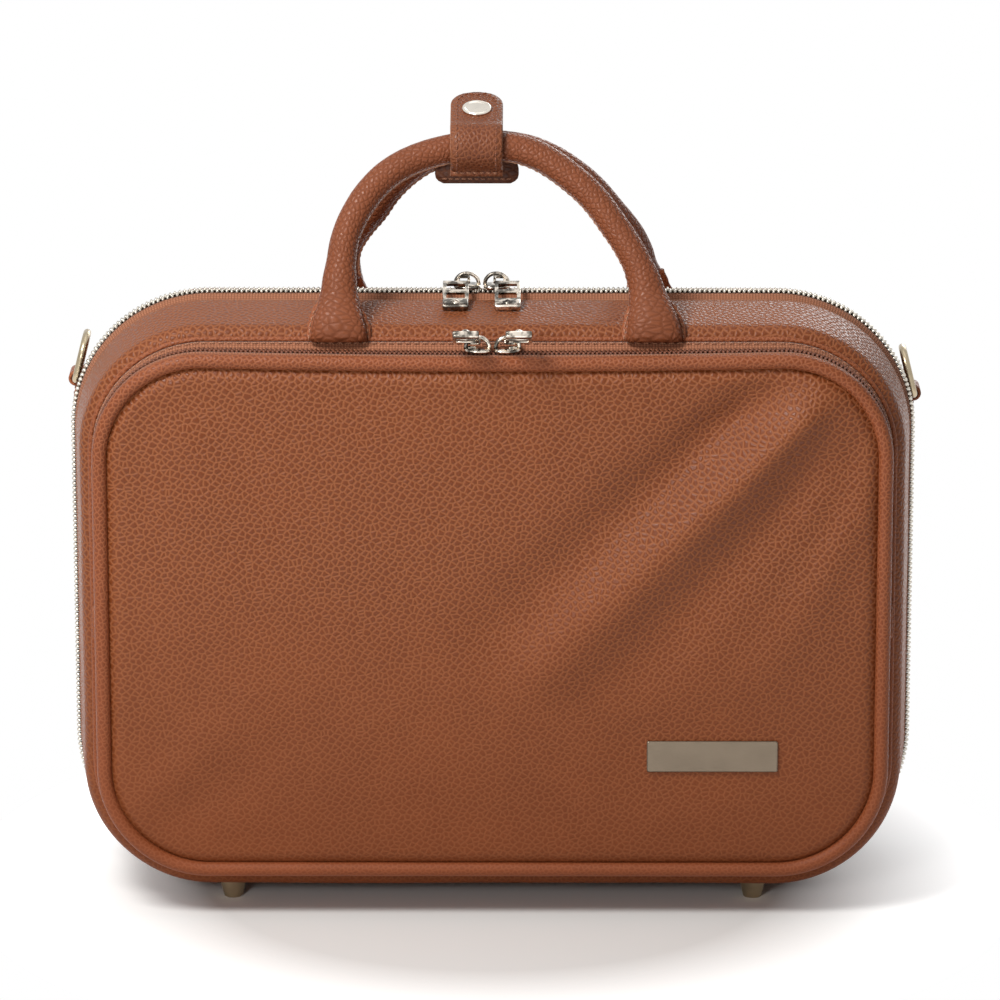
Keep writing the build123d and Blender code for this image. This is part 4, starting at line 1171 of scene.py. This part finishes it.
def ring_tabs():
    """Leather tabs that fold round the D-rings' bars and are sewn to the back half's corners."""
    for name, side, ring_z in RING_PLACES:
        core = vec(side * SPAN_X, 15.0, MID_Z + SPAN_Z)
        pivot_angle = (ring_z - core.z) / 58.2
        pivot_angle = atan2(pivot_angle, sqrt(1 - pivot_angle**2))
        low_angle = pivot_angle - 9.5 / CORNER

        def radial(a):
            return vec(side * cos(a), 0, sin(a))

        def rise(a):
            return vec(-side * sin(a), 0, cos(a))

        path, fit = [], []
        for k in range(7):
            a = low_angle + (pivot_angle - low_angle) * k / 6
            path.append((core + radial(a) * 55.65, -radial(a)))
            fit.append(1.0)
        pivot = core + radial(pivot_angle) * 58.2
        for k in range(1, 20):
            psi = radians(180 - 299 * k / 19)
            out = radial(pivot_angle) * cos(psi) + rise(pivot_angle) * sin(psi)
            path.append((pivot + out * 2.55, out))
            fit.append(0.5 - 0.5 * cos(psi))
        for k in range(1, 7):
            a = pivot_angle - 0.035 + (low_angle - pivot_angle + 0.035) * k / 6
            path.append((core + radial(a) * 56.95, radial(a)))
            fit.append(0.74 + 0.26 * k / 6)
        widths = [6.5 - 1.2 * max(0.0, 1 - (len(path) - 1 - i) / 2.0) ** 2 for i in range(len(path))]
        shape = ribbon([p for p, _ in path], [n for _, n in path], Y_AXIS, widths, 1.25, 0.35)
        for i, p in enumerate(shape[0]):
            p -= radial(pivot_angle) * (slimming(p.y) * fit[i // 12])
        make(f"dring_tab_{name}_leather", shape, TAN_FINE, [f"dring_tab_{name}"], "case_back")
        low = core + radial(low_angle + 0.045) * 57.6
        high = core + radial(pivot_angle - 0.06) * 57.6
        line = [p + vec(0, dy, 0) for p, dy in ((low, -4.9), (high, -4.9), (high, 4.9), (low, 4.9), (low, -4.9))]
        line = [p - radial(pivot_angle) * slimming(p.y) for p in line]
        sew(f"dring_tab_{name}_stitches", line, radial(low_angle), THREAD_BROWN, "case_back", (1.5, 2.3, 0.24))


# Padding inside

# Middle, length and width of each recess
RECESSES = ((0.0, 134.0, 272.0, 38.0), (0.0, 181.0, 246.0, 38.0), (72.0, 81.0, 128.0, 50.0),
            (-80.0, 81.0, 112.0, 50.0))


def recess_share(x, z):
    """How deep inside a recess a point is: 0 on the rim, 1 on the recess's floor."""
    share = 0.0
    for cx, cz, length, width in RECESSES:
        dx, dz = abs(x - cx) - (length / 2 - 8.0), abs(z - cz) - (width / 2 - 8.0)
        inside = 8.0 - (hypot(max(dx, 0.0), max(dz, 0.0)) + min(max(dx, dz), 0.0))
        share = max(share, inside / 4.5)
    return soft_step(share)


def cushion(name, inset, back_y, front, steps, node, body):
    """A closed padded piece over the rounded outline, with its front set by a function of x and z."""
    radius = CORNER - inset
    half_x, half_z = SPAN_X + radius, SPAN_Z + radius
    rows = []
    for z in spread(MID_Z - half_z, MID_Z + half_z, steps):
        width, count = half_width(z, radius), round(2 * half_x / steps)
        line = [-width + 2 * width * j / count for j in range(count + 1)]
        row = [vec(x, front(x, z, edge_depth(x, z, half_x, half_z, radius)), z) for x in line]
        row += [vec(x, back_y, z) for x in (width, 0.0, -width)]
        rows.append([draw_in(p, half_x, half_z) for p in row])
    piece = make(name, solid(rows), PLUSH, [node], body)


def padding():
    """Instrument block with its recesses, and the lid's cushion."""
    def block_front(x, z, deep):
        soft = 1.6 * (1 - min(1.0, deep / 5.0)) ** 2
        pillow = 0.5 * noise.noise(vec(x / 30, z / 30, 2.0))
        return 8.3 + soft + (21.0 + 0.5 * pillow) * recess_share(x, z) - 0.3 * pillow

    def lid_front(x, z, deep):
        share = 1 - (1 - min(1.0, deep / 9.0)) ** 2.2
        quilt = 0.8 * abs(sin(pi * (x + z) / 58.0) * sin(pi * (x - z) / 58.0)) ** 0.35
        return -33.2 + 5.4 * share + quilt * share

    cushion("instrument_block_plush", 7.8, 34.2, block_front, 2.4, "instrument_block", "case_back")
    cushion("lid_pad_plush", 8.7, -34.2, lid_front, 3.0, "lid_pad", "lid")


# Finishes of the CAD nodes that stay

FINISHES = {
    "back_frame": BOARD, "lid_frame": BOARD,
    "back_feet": BRASS, "lid_feet": BRASS, "back_foot_screws": STEEL, "lid_foot_screws": STEEL,
    "back_zip_stops": NICKEL, "d_ring_left": RING_METAL, "d_ring_right": RING_METAL, "nameplate": CHAMPAGNE,
    "nameplate_pins": STEEL, "snap_disc_lower": NICKEL, "snap_disc_upper": NICKEL,
}


def finish_nodes():
    """Gives each CAD node that stays its detailed material."""
    for name, material in FINISHES.items():
        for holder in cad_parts[name].material_slots:
            holder.material = material


# Camera, floor and light


def camera():
    """The photograph's view: a long lens from a little above the case's front."""
    azimuth, elevation, distance = radians(0.156), radians(15.787), 2500.0
    target = vec(2.888, 0.0, 160.909)
    ray = vec(sin(azimuth) * cos(elevation), -cos(azimuth) * cos(elevation), sin(elevation))
    data = bpy.data.cameras.new("camera")
    data.sensor_width, data.sensor_fit, data.lens = 36.0, "HORIZONTAL", 219.4
    data.clip_start, data.clip_end = 0.05, 60.0
    view = bpy.data.objects.new("camera", data)
    view.location = (target + ray * distance) * MM
    view.rotation_euler = (-ray).to_track_quat("-Z", "Y").to_euler()
    bpy.context.scene.collection.objects.link(view)
    bpy.context.scene.camera = view


def seen_directly(n):
    """1 for camera, glossy and transmission rays, 0 for the light that falls on the object."""
    path = n.add("LightPath").outputs
    most = n.math("MAXIMUM", path["Is Camera Ray"], path["Is Glossy Ray"])
    return n.math("MAXIMUM", most, path["Is Transmission Ray"])


# Half the floor's width, the distances between which its own glow rises and the glow's two strengths, and how
# far under it a piece may lie for the floor to open over it; lengths in metres
FLOOR_SIZE = 9.0
FLOOR_GLOW = (0.12, 0.22, 0.0, 1.0)
FLOOR_OPENS = 0.6


def floor():
    """A wide pale floor that keeps the case's shadow, and opens in most places over what hangs below the feet."""
    work = bmesh.new()
    bmesh.ops.create_grid(work, x_segments=8, y_segments=8, size=FLOOR_SIZE)
    mesh = bpy.data.meshes.new("floor")
    work.to_mesh(mesh)
    work.free()
    plane = bpy.data.objects.new("floor", mesh)
    bpy.context.scene.collection.objects.link(plane)
    n = Nodes("pale_floor", Roughness=0.9, Specular_IOR_Level=0.0, Base_Color=(0.82, 0.82, 0.82, 1),
              Emission_Color=(1, 1, 1, 1))
    place = n.add("TexCoord").outputs["Object"]
    glow = n.span(n.add("VectorMath", {0: place}, operation="LENGTH").outputs["Value"], *FLOOR_GLOW)
    n.feed(n.shader.inputs["Emission Strength"], n.math("MULTIPLY", seen_directly(n), glow))
    below = n.add("AmbientOcclusion", {"Distance": FLOOR_OPENS}, inside=True, samples=16).outputs["AO"]
    open_here = n.math("MAXIMUM", n.math("LESS_THAN", below, 0.99), n.math("GREATER_THAN", glow, 0.999))
    path = n.add("LightPath").outputs
    passing = n.math("MAXIMUM", path["Is Camera Ray"], path["Is Shadow Ray"])
    clear = n.add("BsdfTransparent").outputs[0]
    surface = n.add("MixShader", {0: n.math("MULTIPLY", open_here, passing), 1: n.shader.outputs[0], 2: clear})
    n.feed(n.tree.nodes["Material Output"].inputs["Surface"], surface.outputs[0])
    mesh.materials.append(n.material)


# The world's light on the object; camera and metal see it at 1
WORLD_LIGHT = 0.12

# Lamps: name, place in mm, aimed at, size in mm, watts, colour
LAMPS = (
    ("key", (-450, -560, 1000), (0, 0, 140), (360, 360), 9.6, (1.0, 0.985, 0.95)),
    ("front", (-430, -1200, 520), (0, 0, 150), (260, 260), 4.0, (1.0, 0.985, 0.96)),
    ("top", (100, 100, 1500), (0, 0, 200), (1200, 700), 2.0, (1.0, 1.0, 1.0)),
    ("back", (420, 1200, 620), (0, 0, 130), (600, 600), 4.0, (1.0, 1.0, 1.0)),
)


def lights():
    """A white surround that the camera and polished metal see, and soft studio lamps."""
    world = bpy.data.worlds.new("surround")
    bpy.context.scene.world = world
    n = Tree(world)
    back = n.tree.nodes["Background"]
    back.inputs["Color"].default_value = (1, 1, 1, 1)
    n.feed(back.inputs["Strength"], n.span(seen_directly(n), 0.0, 1.0, WORLD_LIGHT, 1.0))
    for name, place, aim, size, watts, color in LAMPS:
        lamp = bpy.data.lights.new(name, "AREA")
        lamp.shape = "RECTANGLE"
        lamp.size, lamp.size_y = size[0] * MM, size[1] * MM
        lamp.energy, lamp.color = watts, color
        holder = bpy.data.objects.new(name, lamp)
        holder.location = Vector(place) * MM
        holder.rotation_euler = (Vector(aim) - Vector(place)).to_track_quat("-Z", "Y").to_euler()
        bpy.context.scene.collection.objects.link(holder)
    bpy.context.scene.view_settings.view_transform = "Standard"


camera()
floor()
lights()
halves()
main_zip()
hinge()
pocket_walls()
pocket_zip_ends()
pocket_piping()
pocket_panel()
handles()
wrap_strap()
wrap_inside()
sliders_and_pulls()
ring_tabs()
padding()
finish_nodes()
